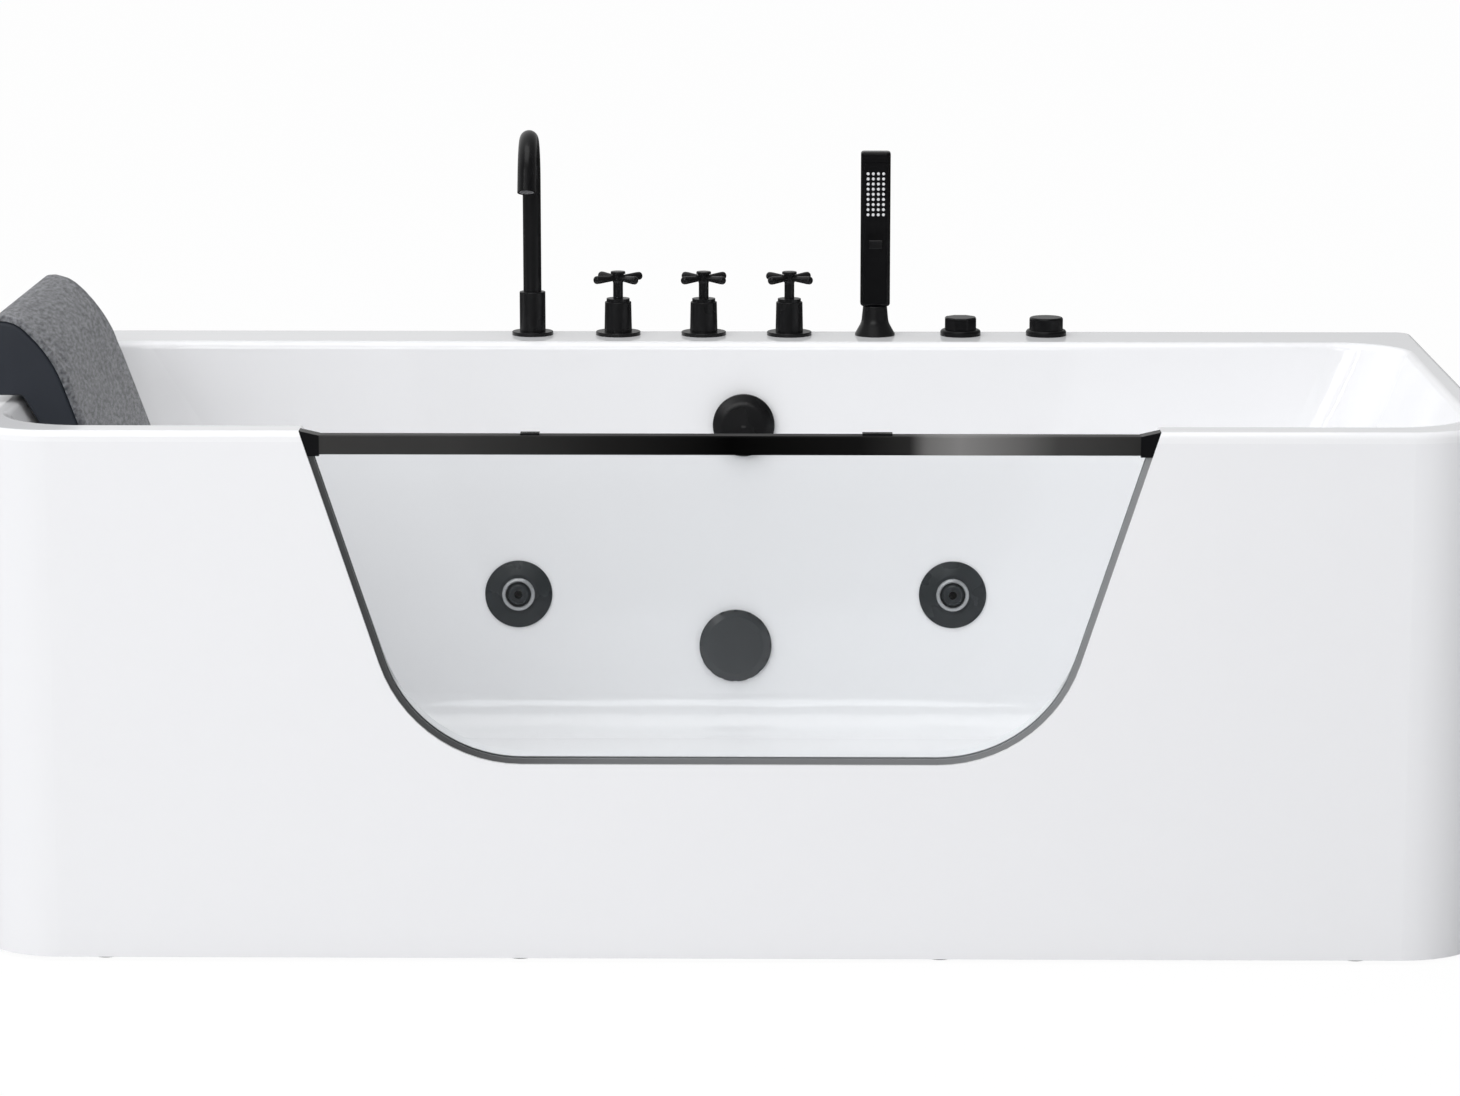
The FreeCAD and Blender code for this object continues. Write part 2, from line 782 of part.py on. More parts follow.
def pillow_line(depth):
    """Crown, brow and front of the pillow's side view, a depth under the outer skin."""
    brow = "pillow_brow_angle"
    front = "pillow_front_angle"
    top = f"({PILLOW_TOP} - {depth})"
    crown_x = f"({PILLOW_CROWN} - {depth} * tan({brow} / 2))"
    half_turn = f"(({front} - {brow}) / 2)"
    middle = f"(({front} + {brow}) / 2)"
    # The brow corner lies where the slope under the crown meets the front's slope.
    run = (f"((pillow_rise - (pillow_front_inset - pillow_crown_inset) * tan({front}))"
           f" / (tan({brow}) - tan({front})))")
    brow_x = f"({PILLOW_CROWN} + {run} - {depth} / cos({half_turn}) * sin({middle}))"
    brow_z = (f"({PILLOW_TOP} - {run} * tan({brow})"
              f" - {depth} / cos({half_turn}) * cos({middle}))")
    foot_x = f"({PILLOW_FRONT} + pillow_drop / tan({front}) - {depth} / sin({front}))"
    return [(crown_x, top, f"pillow_crown_round - {depth}"),
            (brow_x, brow_z, f"pillow_brow_round - {depth}"), (foot_x, PILLOW_FOOT)]


def pillow_core():
    body = new_body("pillow_core")
    under = "(rim_height + pillow_gap)"
    wall = f"(-{BASIN_HEAD} + pillow_gap / cos(head_slope))"
    crown, brow, foot = pillow_line("pad_thickness")
    side = outline(body, "pillow_side", "XZ_Plane", [
        (PILLOW_BACK, under, "pillow_edge_round"),
        (f"{wall} - pillow_gap * tan(head_slope)", under, "pillow_edge_round"),
        (f"{wall} + pillow_drop * tan(head_slope)", PILLOW_FOOT, "pillow_edge_round"),
        foot, brow, crown, (PILLOW_BACK, f"{PILLOW_TOP} - pad_thickness")])
    pad(body, "pillow_core_run", side, "pillow_length", both=True)
    return body


def pillow_pad():
    body = new_body("pillow_pad")
    outer_crown, outer_brow, outer_foot = pillow_line("0")
    crown, brow, foot = pillow_line("pad_thickness")
    side = outline(body, "pad_side", "XZ_Plane", [
        (PILLOW_BACK, f"{PILLOW_TOP} - pad_thickness"), crown, brow, foot, outer_foot,
        outer_brow, outer_crown, (PILLOW_BACK, PILLOW_TOP, "pad_thickness / 2")])
    pad(body, "pad_run", side, "pillow_length", both=True)
    return body


def pillow_cups():
    """Four suction cups: two on the rim, two on the sloping end wall."""
    cups = []
    rim_x = f"(({PILLOW_BACK} - {BASIN_HEAD}) / 2)"
    wall_x = f"(-{BASIN_HEAD} + cup_wall_drop * tan(head_slope))"
    spots = (("rim", rim_x, "rim_height", None),
             ("wall", wall_x, "rim_height - cup_wall_drop", "90 - head_slope"))
    for where, x, z, angle in spots:
        for hand, y in (("near", "-cup_spacing / 2"), ("far", "cup_spacing / 2")):
            cup = turned(f"{where}_{hand}_cup", [
                ("0", "0"), ("cup_radius", "0"), ("cup_radius", "1"),
                ("cup_neck_radius", "pillow_gap / 2"), ("cup_neck_radius", "pillow_gap"),
                ("0", "pillow_gap")])
            cups.append(place(cup, x, y, z, Vector(0, 1, 0), angle))
    return group("suction_cups", cups)


# ---------------------------------------------------------------------------
# Row of fittings on the deck
# ---------------------------------------------------------------------------

FLANGE_TOP = "flange_thickness"
SPOUT, HOT, DIVERTER, COLD, SHOWER, AIR, BUTTON = (row_x(index) for index in range(-3, 4))


def on_deck(thing, x, angle=None):
    return place(thing, x, DECK_Y, "rim_height", Vector(0, 0, 1), angle)


def side_port(body, name, drop, reach, plane="YZ_Plane", against=False):
    """A round union that stands out sideways from a body under the deck."""
    sketch = circles(body, name + "_circle", plane, [("0", f"-{drop}", "branch_radius + 2")])
    return pad(body, name, sketch, reach, against)


def spout_base():
    seat_radius = "spout_radius + run_fit"
    collar_top = "flange_thickness + spout_collar_height"
    body = turned("spout_base", [
        ("0", "-shank_length - tail_length"),
        ("valve_body_radius", "-shank_length - tail_length"),
        ("valve_body_radius", "-shank_length"), ("shank_radius", "-shank_length"),
        ("shank_radius", "0"), ("spout_flange_radius", "0"),
        ("spout_flange_radius", FLANGE_TOP, "edge_round"),
        ("spout_collar_radius", FLANGE_TOP),
        ("spout_collar_radius", collar_top, "edge_round"), (seat_radius, collar_top),
        (seat_radius, "spout_seat"), ("water_bore", "spout_seat"),
        ("water_bore", "-shank_length"), ("0", "-shank_length")])
    side_port(body, "spout_union", "spout_branch_drop", "branch_reach", "XZ_Plane")
    return on_deck(body, SPOUT)


BEND_CENTRE = "(spout_height - spout_bend - spout_radius)"
MOUTH_Y = "(-spout_bend - spout_bend * cos(spout_lean) - spout_mouth * sin(spout_lean))"
MOUTH_Z = f"({BEND_CENTRE} + spout_bend * sin(spout_lean) - spout_mouth * cos(spout_lean))"


def spout():
    """The swivelling gooseneck: one tube swept up, over and down to the mouth."""
    body = new_body("spout")
    start = "spout_seat + free_gap"
    path = outline(body, "spout_path", "YZ_Plane", [
        ("0", start), ("0", f"{BEND_CENTRE} + spout_bend / tan(spout_lean / 2)", "spout_bend"),
        (MOUTH_Y, MOUTH_Z)], closed=False)
    ring = circles(body, "spout_section", "XY_Plane",
                   [("0", "0", "spout_radius"), ("0", "0", "spout_bore")], start)
    tube = body.newObject("PartDesign::AdditivePipe", "gooseneck")
    tube.Profile = ring
    tube.Spine = (path, [])
    body.Tip = tube
    return on_deck(body, SPOUT)


def spout_aerator():
    """A perforated insert just inside the spout's mouth."""
    body = turned("spout_aerator", [
        ("0", "0.6"), ("spout_bore", "0.6"), ("spout_bore", "aerator_length"),
        ("spout_bore - 1.2", "aerator_length"), ("spout_bore - 1.2", "3"), ("0", "3")])
    ring = [("0", "0", "aerator_hole")]
    for step in range(6):
        ring.append((f"aerator_ring * cos({60 * step})", f"aerator_ring * sin({60 * step})",
                     "aerator_hole"))
    holes = circles(body, "aerator_holes_plan", "XY_Plane", ring)
    pocket(body, "aerator_holes", holes, "4", against=True)
    return place(body, SPOUT, f"{DECK_Y} + {MOUTH_Y}", f"rim_height + {MOUTH_Z}",
                 Vector(1, 0, 0), "-spout_lean")


VALVE_ROOF = "(flange_thickness + valve_height)"
VALVE_TOP = f"({VALVE_ROOF} + collar_height)"


def escutcheon(label, x):
    """The flanged sleeve that covers a valve above the deck."""
    body = turned(label, [
        ("shank_radius", "0"), ("flange_radius", "0"),
        ("flange_radius", FLANGE_TOP, "edge_round"), ("valve_foot_radius", FLANGE_TOP),
        ("valve_top_radius", VALVE_ROOF, "edge_round"), ("collar_radius", VALVE_ROOF),
        ("collar_radius", VALVE_TOP), ("stem_radius + free_gap", VALVE_TOP),
        ("stem_radius + free_gap", f"{VALVE_ROOF} - 2"), ("shank_radius", f"{VALVE_ROOF} - 2")])
    return on_deck(body, x)


def valve(label, x, ports, inlet=False):
    """A valve under the deck: threaded shank, body, side unions and, on two, an inlet spigot."""
    low = "(-shank_length - valve_body_length)"
    body = turned(label, [
        ("0", low), ("valve_body_radius", low),
        ("valve_body_radius", "-shank_length"), ("shank_radius", "-shank_length"),
        ("shank_radius", f"{VALVE_ROOF} - 2"), ("stem_radius + run_fit", f"{VALVE_ROOF} - 2"),
        ("stem_radius + run_fit", f"{VALVE_TOP} - stem_depth"),
        ("0", f"{VALVE_TOP} - stem_depth")])
    for number, (drop, plane, against) in enumerate(ports):
        side_port(body, f"{label}_port_{number}", drop, "branch_reach", plane, against)
    if inlet:
        spigot = circles(body, label + "_inlet_circle", "XZ_Plane",
                         [("0", "-inlet_drop", "inlet_radius")])
        pad(body, label + "_inlet", spigot, "valve_body_radius + inlet_length", against=True)
        collar = circles(body, label + "_inlet_collar_circle", "XZ_Plane",
                         [("0", "-inlet_drop", "inlet_collar_radius")])
        pad(body, label + "_inlet_collar", collar, "valve_body_radius + inlet_collar_length",
            against=True)
    return on_deck(body, x)


def cross_handle(label, x, turn):
    """Stem, hub and cap turned in one, with four flared arms round the hub."""
    cap_low = "handle_height - handle_cap_height"
    hub = "(arm_root_radius * 2 + 1)"
    body = turned(label, [
        ("0", f"{VALVE_TOP} - stem_depth + free_gap"),
        ("stem_radius", f"{VALVE_TOP} - stem_depth + free_gap"),
        ("stem_radius", "arm_height - 6"), (hub, "arm_height - 3"), (hub, cap_low),
        ("handle_cap_radius", cap_low), ("handle_cap_radius", "handle_height", "edge_round"),
        ("0", "handle_height")])
    arm = outline(body, label + "_arm_half", "XZ_Plane", [
        ("0", "0"), ("arm_length", "0"), ("arm_length", "arm_tip_radius", "arm_tip_radius * 0.7"),
        ("arm_length * 0.8", "arm_tip_radius"), ("stem_radius", "arm_root_radius"),
        ("0", "arm_root_radius")], lift="arm_height")
    spin = body.newObject("PartDesign::Revolution", label + "_arm")
    spin.Profile = arm
    spin.ReferenceAxis = (arm, ["H_Axis"])
    spin.Angle = 360
    body.Tip = spin
    doc.recompute()
    ring = body.newObject("PartDesign::PolarPattern", label + "_arms")
    ring.Originals = [spin]
    ring.Axis = (arm, ["V_Axis"])
    ring.Angle = 360
    ring.Occurrences = 4
    body.Tip = ring
    return on_deck(body, x, turn)


def shower_holder():
    """The bell that the hand shower stands in, with the hose guide under the deck."""
    body = turned("shower_holder", [
        ("cone_tip_radius + free_gap", "-shank_length"), ("shank_radius", "-shank_length"),
        ("shank_radius", "0"), ("holder_radius", "0"), ("holder_radius", "2"),
        ("holder_top_radius + 2", "holder_height * 0.45", "holder_radius - 5"),
        ("holder_top_radius", "holder_height", "edge_round"),
        ("cone_radius + free_gap", "holder_height"),
        ("cone_tip_radius + free_gap", "holder_height - cone_length")])
    return on_deck(body, SHOWER)


HANDSET_LOW = "(holder_height + free_gap)"
HANDSET_SEAM = "(holder_height + handset_height - shower_cap_height)"
HANDSET_FACE = "(handset_depth / 2)"


def handset_plan(body, name, offset):
    wide = "handset_width / 2"
    deep = "handset_depth / 2"
    return outline(body, name, "XY_Plane", [
        (f"-{wide}", f"-{deep}", "handset_corner"), (wide, f"-{deep}", "handset_corner"),
        (wide, deep, "handset_corner"), (f"-{wide}", deep, "handset_corner")], offset)


def hand_shower():
    body = new_body("hand_shower")
    pad(body, "handset", handset_plan(body, "handset_plan", HANDSET_LOW),
        f"{HANDSET_SEAM} - {HANDSET_LOW}")
    dress(body, "handset_foot", "Fillet", "handset_foot_round", at_height(HANDSET_LOW))
    cone = outline(body, "hose_cone_half", "XZ_Plane", [
        ("0", f"{HANDSET_LOW} - cone_length"), ("cone_tip_radius", f"{HANDSET_LOW} - cone_length"),
        ("cone_radius", HANDSET_LOW), ("0", HANDSET_LOW)])
    spin = body.newObject("PartDesign::Revolution", "hose_cone")
    spin.Profile = cone
    spin.ReferenceAxis = (cone, ["V_Axis"])
    spin.Angle = 360
    body.Tip = spin
    top = "holder_height + handset_height - selector_drop"
    slot = outline(body, "selector_slot_outline", "XZ_Plane", [
        ("-selector_width / 2", f"{top} - selector_height"),
        ("selector_width / 2", f"{top} - selector_height"),
        ("selector_width / 2", top), ("-selector_width / 2", top)],
        f"{HANDSET_FACE} - selector_slot")
    pocket(body, "selector_slot", slot, "2 * selector_slot", against=True)
    return on_deck(body, SHOWER)


def hand_shower_cap():
    body = new_body("hand_shower_cap")
    pad(body, "shower_cap", handset_plan(body, "shower_cap_plan", HANDSET_SEAM),
        "shower_cap_height")
    dress(body, "shower_cap_rounding", "Fillet", "handset_foot_round * 0.75",
          at_height("holder_height + handset_height"))
    dress(body, "shower_cap_seam", "Chamfer", "0.5", at_height(HANDSET_SEAM))
    return on_deck(body, SHOWER)


def spray_nozzles():
    """Soft nozzles in a grid on the handset's face."""
    columns = int(value("nozzle_columns"))
    rows = int(value("nozzle_rows"))
    nubs = []
    for column in range(columns):
        for row in range(rows):
            nub = doc.addObject("Part::Cone", f"nozzle_{column}_{row}")
            bind(nub, "Radius1", "nozzle_radius")
            bind(nub, "Radius2", "nozzle_radius * 0.7")
            bind(nub, "Height", "nozzle_rise")
            place(nub, f"{SHOWER} + ({column} - (nozzle_columns - 1) / 2) * nozzle_pitch",
                  f"{DECK_Y} - {HANDSET_FACE}",
                  f"rim_height + holder_height + handset_height - nozzle_top_drop"
                  f" - {row} * nozzle_pitch", Vector(1, 0, 0), "90")
            nubs.append(nub)
    return group("nozzle_grid", nubs)


def spray_selector():
    """The slide that picks the spray, at rest in the lower half of its slot."""
    body = new_body("spray_selector")
    low = "holder_height + handset_height - selector_drop - selector_height + selector_play"
    wide = "(selector_width / 2 - selector_play)"
    high = "(selector_height - selector_travel - 2 * selector_play)"
    face = outline(body, "selector_outline", "XZ_Plane", [
        (f"-{wide}", low), (wide, low), (wide, f"{low} + {high}"), (f"-{wide}", f"{low} + {high}")],
        f"{HANDSET_FACE} - selector_slot + free_gap")
    pad(body, "selector_block", face, "selector_slot - free_gap + selector_rise")
    front = -value(f"{HANDSET_FACE} + selector_rise")
    dress(body, "selector_rounding", "Fillet", "selector_rise * 0.6",
          lambda edge: edge.BoundBox.YMax < front + 0.01)
    return on_deck(body, SHOWER)


def ring_profile(tail, well_radius, well_depth):
    """Half outline of a control's housing: tail, shank and rolled ring, with a well on top."""
    stem = "(knob_stem_radius + run_fit)"
    floor_z = f"(ring_height - {well_depth})"
    stem_low = "(ring_height - button_well - knob_stem_length)"
    corners = [("0", f"-shank_length - {tail}"), ("air_spigot_radius", f"-shank_length - {tail}"),
               ("air_spigot_radius", "-shank_length"), ("shank_radius", "-shank_length"),
               ("shank_radius", "0"), ("ring_radius", "0"),
               ("ring_radius", "ring_height", "ring_roll")]
    if well_radius:
        corners += [(well_radius, "ring_height"), (well_radius, floor_z)]
    corners += [(stem, floor_z), (stem, stem_low), ("0", stem_low)]
    return corners


def air_valve():
    return on_deck(turned("air_valve", ring_profile("air_spigot_length", None, "0")), AIR)


def button_housing():
    body = turned("button_housing", ring_profile("air_spigot_length / 2",
                                                 "cap_radius + cap_play", "button_well"))
    return on_deck(body, BUTTON)


def control_stem(body, name):
    """Adds the stem that runs down into a control's housing."""
    stem_low = "(ring_height - button_well - knob_stem_length + button_travel + free_gap)"
    foot = circles(body, name + "_plan", "XY_Plane", [("0", "0", "knob_stem_radius")], stem_low)
    return pad(body, name, foot, f"cap_height - cap_round - {stem_low}")


def air_knob():
    """An eight-sided rotary cap on its stem."""
    body = new_body("air_knob")
    sides = 8
    corners = []
    for step in range(sides):
        angle = (step + 0.5) * 360 / sides
        corners.append((f"cap_radius * cos({angle})", f"cap_radius * sin({angle})",
                        "knob_corner"))
    plan = outline(body, "air_knob_plan", "XY_Plane", corners, "ring_height + cap_play")
    pad(body, "air_knob_cap", plan, "cap_height - ring_height - cap_play")
    dress(body, "air_knob_rounding", "Chamfer", "cap_round * 0.6", at_height("cap_height"))
    control_stem(body, "air_knob_stem")
    return on_deck(body, AIR)


def pump_button():
    """A round push cap that sinks into its ring."""
    body = new_body("pump_button")
    plan = circles(body, "pump_button_plan", "XY_Plane", [("0", "0", "cap_radius")],
                   "ring_height - cap_play")
    pad(body, "pump_button_cap", plan, "cap_height - ring_height + cap_play")
    dress(body, "pump_button_rounding", "Fillet", "cap_round", at_height("cap_height"))
    control_stem(body, "pump_button_stem")
    return on_deck(body, BUTTON)


def hex_nut(name, across, hole, height):
    """A six-sided nut with its bottom face at its own origin."""
    body = new_body(name)
    reach = f"({across} / 2 / cos(30))"
    corners = [(f"{reach} * cos({60 * step})", f"{reach} * sin({60 * step})")
               for step in range(6)]
    pad(body, name + "_prism", outline(body, name + "_plan", "XY_Plane", corners), height)
    pocket(body, name + "_bore", circles(body, name + "_hole", "XY_Plane", [("0", "0", hole)]),
           height, against=True)
    return body


def deck_nuts():
    nuts = []
    for index in range(-3, 4):
        nut = hex_nut(f"deck_nut_{index + 4}", "nut_width", "shank_radius", "nut_height")
        nuts.append(place(nut, row_x(index), DECK_Y, "rim_height - rim_lip - nut_height"))
    return group("shank_nuts", nuts)


def straight_pipe(name, radius, length, x, y, z, axis=Vector(0, 0, 1), angle=None):
    """A plain length of pipe that starts at a point and runs along its own Z."""
    pipe = doc.addObject("Part::Cylinder", name)
    bind(pipe, "Radius", radius)
    bind(pipe, "Height", length)
    return place(pipe, x, y, z, axis, angle)


def bent_pipe(name, points, radius, bend):
    """A pipe along straight runs, each corner an arc of one bend radius."""
    route = [Vector(*(value(text) for text in point)) for point in points]
    size = value(bend)
    edges = []
    here = route[0]
    for before, corner, after in zip(route, route[1:], route[2:]):
        back = (before - corner).normalize()
        ahead = (after - corner).normalize()
        half = back.getAngle(ahead) / 2
        reach = size / math.tan(half)
        enter = corner + back * reach
        leave = corner + ahead * reach
        middle = corner + (back + ahead).normalize() * (size / math.sin(half) - size)
        edges.append(Part.LineSegment(here, enter).toShape())
        edges.append(Part.Arc(enter, middle, leave).toShape())
        here = leave
    edges.append(Part.LineSegment(here, route[-1]).toShape())
    circle = Part.Circle(route[0], route[1] - route[0], value(radius))
    pipe = doc.addObject("Part::Feature", name)
    pipe.Shape = Part.Wire(edges).makePipeShell([Part.Wire(circle.toShape())], True, False)
    return pipe


def feed_pipes():
    """Pipes under the deck: hot and cold to the diverter, and the diverter to the spout."""
    run = "fitting_pitch - 2 * branch_reach"
    level = "rim_height - branch_drop"
    hot = straight_pipe("hot_feed", "branch_radius", run, f"{HOT} + branch_reach", DECK_Y,
                        level, Vector(0, 1, 0), "90")
    cold = straight_pipe("cold_feed", "branch_radius", run, f"{DIVERTER} + branch_reach",
                         DECK_Y, level, Vector(0, 1, 0), "90")
    height = "rim_height - spout_branch_drop"
    front = f"{DECK_Y} - branch_reach"
    line = f"{DECK_Y} - feed_set_forward"
    spout_feed = bent_pipe("spout_feed", [
        (DIVERTER, front, height), (DIVERTER, line, height), (SPOUT, line, height),
        (SPOUT, front, height)], "branch_radius", "feed_bend")
    return group("feed_pipe_set", [hot, cold, spout_feed])


# ---------------------------------------------------------------------------
# Overflow and drain
# ---------------------------------------------------------------------------

def wall_y(z):
    """Y of the basin's back wall at a height."""
    return f"({BASIN_BACK} - (rim_height - {z}) * tan(side_slope))"


def on_wall(thing, x, z):
    """Seats a piece on the back wall with its own Z pointing into the basin."""
    return place(thing, x, wall_y(z), z, Vector(1, 0, 0), "90 - side_slope")


def behind_wall(z, depth):
    """Y and Z of a point on a wall fitting's axis, a depth behind the wall."""
    return f"({wall_y(z)} + {depth} * cos(side_slope))", f"({z} - {depth} * sin(side_slope))"


# The water pipe, the overflow's drop and the air pipe stand one behind the other.
JET_SOCKET_Y, JET_SOCKET_Z = behind_wall("jet_z", "water_port_back")
WATER_PIPE_Y = f"({JET_SOCKET_Y} + (water_pipe_z - {JET_SOCKET_Z}) * tan(side_slope))"
OVERFLOW_PIPE_Y = f"({WATER_PIPE_Y} + water_pipe_radius + pipe_gap + overflow_pipe_radius)"
AIR_PIPE_Y = f"({OVERFLOW_PIPE_Y} + overflow_pipe_radius + pipe_gap + air_pipe_radius)"


def overflow_knob():
    """A domed cap that stands off the wall; turning it lifts the plug."""
    top = "(overflow_cap_stand + overflow_cap_depth)"
    body = turned("overflow_knob", [
        ("0", "-overflow_stem_depth"), ("plug_stem_radius", "-overflow_stem_depth"),
        ("plug_stem_radius", "overflow_cap_stand + 3"),
        ("overflow_radius - 3", "overflow_cap_stand + 3"),
        ("overflow_radius - 3", "overflow_cap_stand"), ("overflow_radius", "overflow_cap_stand"),
        ("overflow_radius", f"{top} - 5", "2"), ("overflow_radius * 0.7", f"{top} - 1", "20"),
        ("0", top)])
    return on_wall(body, "overflow_x", "overflow_z")


def overflow_body():
    """Flanged cup behind the knob: water runs in round the hub and out through the side."""
    hub = "(plug_stem_radius + 4)"
    mouth = "(overflow_hole - 5)"
    neck = "(overflow_hole - 1)"
    cup = "(overflow_hole + 4)"
    flange = "(overflow_hole + 5)"
    body = turned("overflow_body", [
        ("plug_stem_radius + run_fit", "-2"), (hub, "-2"), (hub, "-overflow_stem_depth"),
        (mouth, "-overflow_stem_depth"), (mouth, "2.5"), (flange, "2.5"), (flange, "0"),
        (neck, "0"), (neck, "-skin"), (cup, "-skin"), (cup, "-overflow_cup_depth"),
        ("0", "-overflow_cup_depth"), ("0", "-overflow_stem_depth - 1"),
        ("plug_stem_radius + run_fit", "-overflow_stem_depth - 1")])
    port = circles(body, "overflow_port_circle", "YZ_Plane",
                   [("0", "-overflow_cup_depth / 2 - skin / 2", "overflow_pipe_radius")],
                   f"-{mouth} - 2")
    pad(body, "overflow_port", port, "overflow_port_reach", against=True)
    return on_wall(body, "overflow_x", "overflow_z")


def overflow_pipe():
    """From the overflow down behind the wall and under the floor to the drain."""
    y, z = behind_wall("overflow_z", "(overflow_cup_depth + skin) / 2")
    start_x = "overflow_x - (overflow_hole - 3) - overflow_port_reach"
    drop_x = f"({start_x} - overflow_bend - 5)"
    return bent_pipe("overflow_pipe_run", [
        (start_x, y, z), (drop_x, y, z), (drop_x, OVERFLOW_PIPE_Y, f"{z} - 90"),
        (drop_x, OVERFLOW_PIPE_Y, "waste_height"), (drop_x, "0", "waste_height"),
        ("-overflow_socket_reach", "0", "waste_height")],
        "overflow_pipe_radius", "overflow_bend")


DRAIN_TUBE = "(drain_bore + drain_wall)"
UNDER_BOARD = "(skin + board_thickness)"


def drain_flange():
    """Strainer flange on the floor with a tube through it and a guide for the plug's stem."""
    length = f"{UNDER_BOARD} + 25"
    body = turned("drain_flange", [
        ("drain_bore", f"-({length})"), (DRAIN_TUBE, f"-({length})"), (DRAIN_TUBE, "0"),
        ("drain_flange_radius", "0"), ("drain_flange_radius", "drain_flange_rise", "edge_round"),
        ("drain_bore", "drain_flange_rise")])
    bar = outline(body, "guide_bar_plan", "XY_Plane", [
        (f"-{DRAIN_TUBE} + 1", "-5"), (f"{DRAIN_TUBE} - 1", "-5"), (f"{DRAIN_TUBE} - 1", "5"),
        (f"-{DRAIN_TUBE} + 1", "5")], f"-{UNDER_BOARD} - 10")
    pad(body, "guide_bar", bar, "6")
    hole = circles(body, "guide_hole_plan", "XY_Plane", [("0", "0", "plug_stem_radius + run_fit")],
                   f"-{UNDER_BOARD} - 12")
    pocket(body, "guide_hole", hole, "12", against=True)
    return place(body, "0", "0", "floor_height")


def drain_plug():
    seat = "(drain_flange_rise + free_gap)"
    body = turned("drain_plug", [
        ("0", f"-{UNDER_BOARD} - plug_travel - 10"),
        ("plug_stem_radius", f"-{UNDER_BOARD} - plug_travel - 10"), ("plug_stem_radius", seat),
        ("plug_radius", seat), ("plug_radius", f"{seat} + 2", "edge_round"),
        ("0", f"{seat} + plug_rise")])
    return place(body, "0", "0", "floor_height")


def drain_body():
    """Cup clamped to the flange's tube, with a collared waste outlet to the wall."""
    low = "-(floor_height - waste_height + waste_radius)"
    shell = f"({DRAIN_TUBE} + 4)"
    body = turned("drain_body", [
        ("0", low), (shell, low), (shell, f"-{UNDER_BOARD} - 5"),
        ("drain_flange_radius", f"-{UNDER_BOARD} - 5"), ("drain_flange_radius", f"-{UNDER_BOARD}"),
        (DRAIN_TUBE, f"-{UNDER_BOARD}"), (DRAIN_TUBE, f"{low} + 5"), ("0", f"{low} + 5")])
    level = "waste_height - floor_height"
    outlet = circles(body, "waste_outlet_section", "XZ_Plane", [("0", level, "waste_radius")],
                     f"-{DRAIN_TUBE} - 1")
    pad(body, "waste_outlet", outlet, f"waste_end - {DRAIN_TUBE} - 1", against=True)
    collar = circles(body, "waste_collar_section", "XZ_Plane",
                     [("0", level, "waste_collar_radius")], f"-{DRAIN_TUBE} - 1")
    pad(body, "waste_collar", collar, f"{shell} + waste_collar_length - {DRAIN_TUBE} - 1",
        against=True)
    socket = circles(body, "overflow_socket_circle", "YZ_Plane",
                     [("0", level, "overflow_pipe_radius + 2")], f"-{DRAIN_TUBE} - 1")
    pad(body, "overflow_socket", socket, f"overflow_socket_reach - {DRAIN_TUBE} - 1",
        against=True)
    return place(body, "0", "0", "floor_height")


# ---------------------------------------------------------------------------
# Suction fitting and jets on the back wall
# ---------------------------------------------------------------------------

def suction_cover():
    """A bevelled cap with a step across its face and slots round its side."""
    hollow = "(suction_radius - 5)"
    body = turned("suction_cover", [
        ("0", "suction_rise - 3"), (f"{hollow} - 6", "suction_rise - 3"),
        (hollow, "suction_rise - 6"), (hollow, "0"), ("suction_radius", "0"),
        ("suction_radius", "suction_rise - 5"),
        ("suction_radius - suction_bevel", "suction_rise", "4"), ("0", "suction_rise")])
    step = outline(body, "suction_step_plan", "XY_Plane", box_corners(
        "-suction_radius", "suction_radius", "suction_step_y", "suction_radius"),
        "suction_rise - suction_step_depth")
    pocket(body, "suction_step", step, "1 + suction_step_depth", against=True)
    doc.recompute()
    slot = outline(body, "suction_slot_plan", "XY_Plane", box_corners(
        f"{hollow} - 2", "suction_radius + 2", "-suction_slot_width / 2",
        "suction_slot_width / 2"), "2")
    cut = pocket(body, "suction_slot", slot, "suction_rise - 6", against=True)
    ring = body.newObject("PartDesign::PolarPattern", "suction_slots")
    ring.Originals = [cut]
    ring.Axis = (slot, ["N_Axis"])
    ring.Angle = 360
    bind(ring, "Occurrences", "suction_slots")
    body.Tip = ring
    return on_wall(body, "0", "suction_z")


def suction_body():
    """The hollow fitting behind the cover, with its socket towards the pump."""
    neck = "(suction_hole - 1)"
    bore = "(suction_hole - 4)"
    body = turned("suction_body", [
        (bore, "2"), (f"{neck} + 8", "2"), (f"{neck} + 8", "0"), (neck, "0"), (neck, "-skin"),
        ("suction_nut_radius", "-skin"), ("suction_nut_radius", "-skin - jet_nut_depth"),
        ("suction_chamber_radius", "-skin - jet_nut_depth"),
        ("suction_chamber_radius", "-suction_chamber_depth"), ("0", "-suction_chamber_depth"),
        ("0", "-suction_chamber_depth + 5"), (bore, "-suction_chamber_depth + 5")])
    port = circles(body, "suction_port_circle", "YZ_Plane",
                   [("0", "-suction_port_back", "suction_pipe_radius + 2")], f"{bore} + 1")
    pad(body, "suction_port", port, f"suction_port_reach - {bore} - 1")
    return on_wall(body, "0", "suction_z")


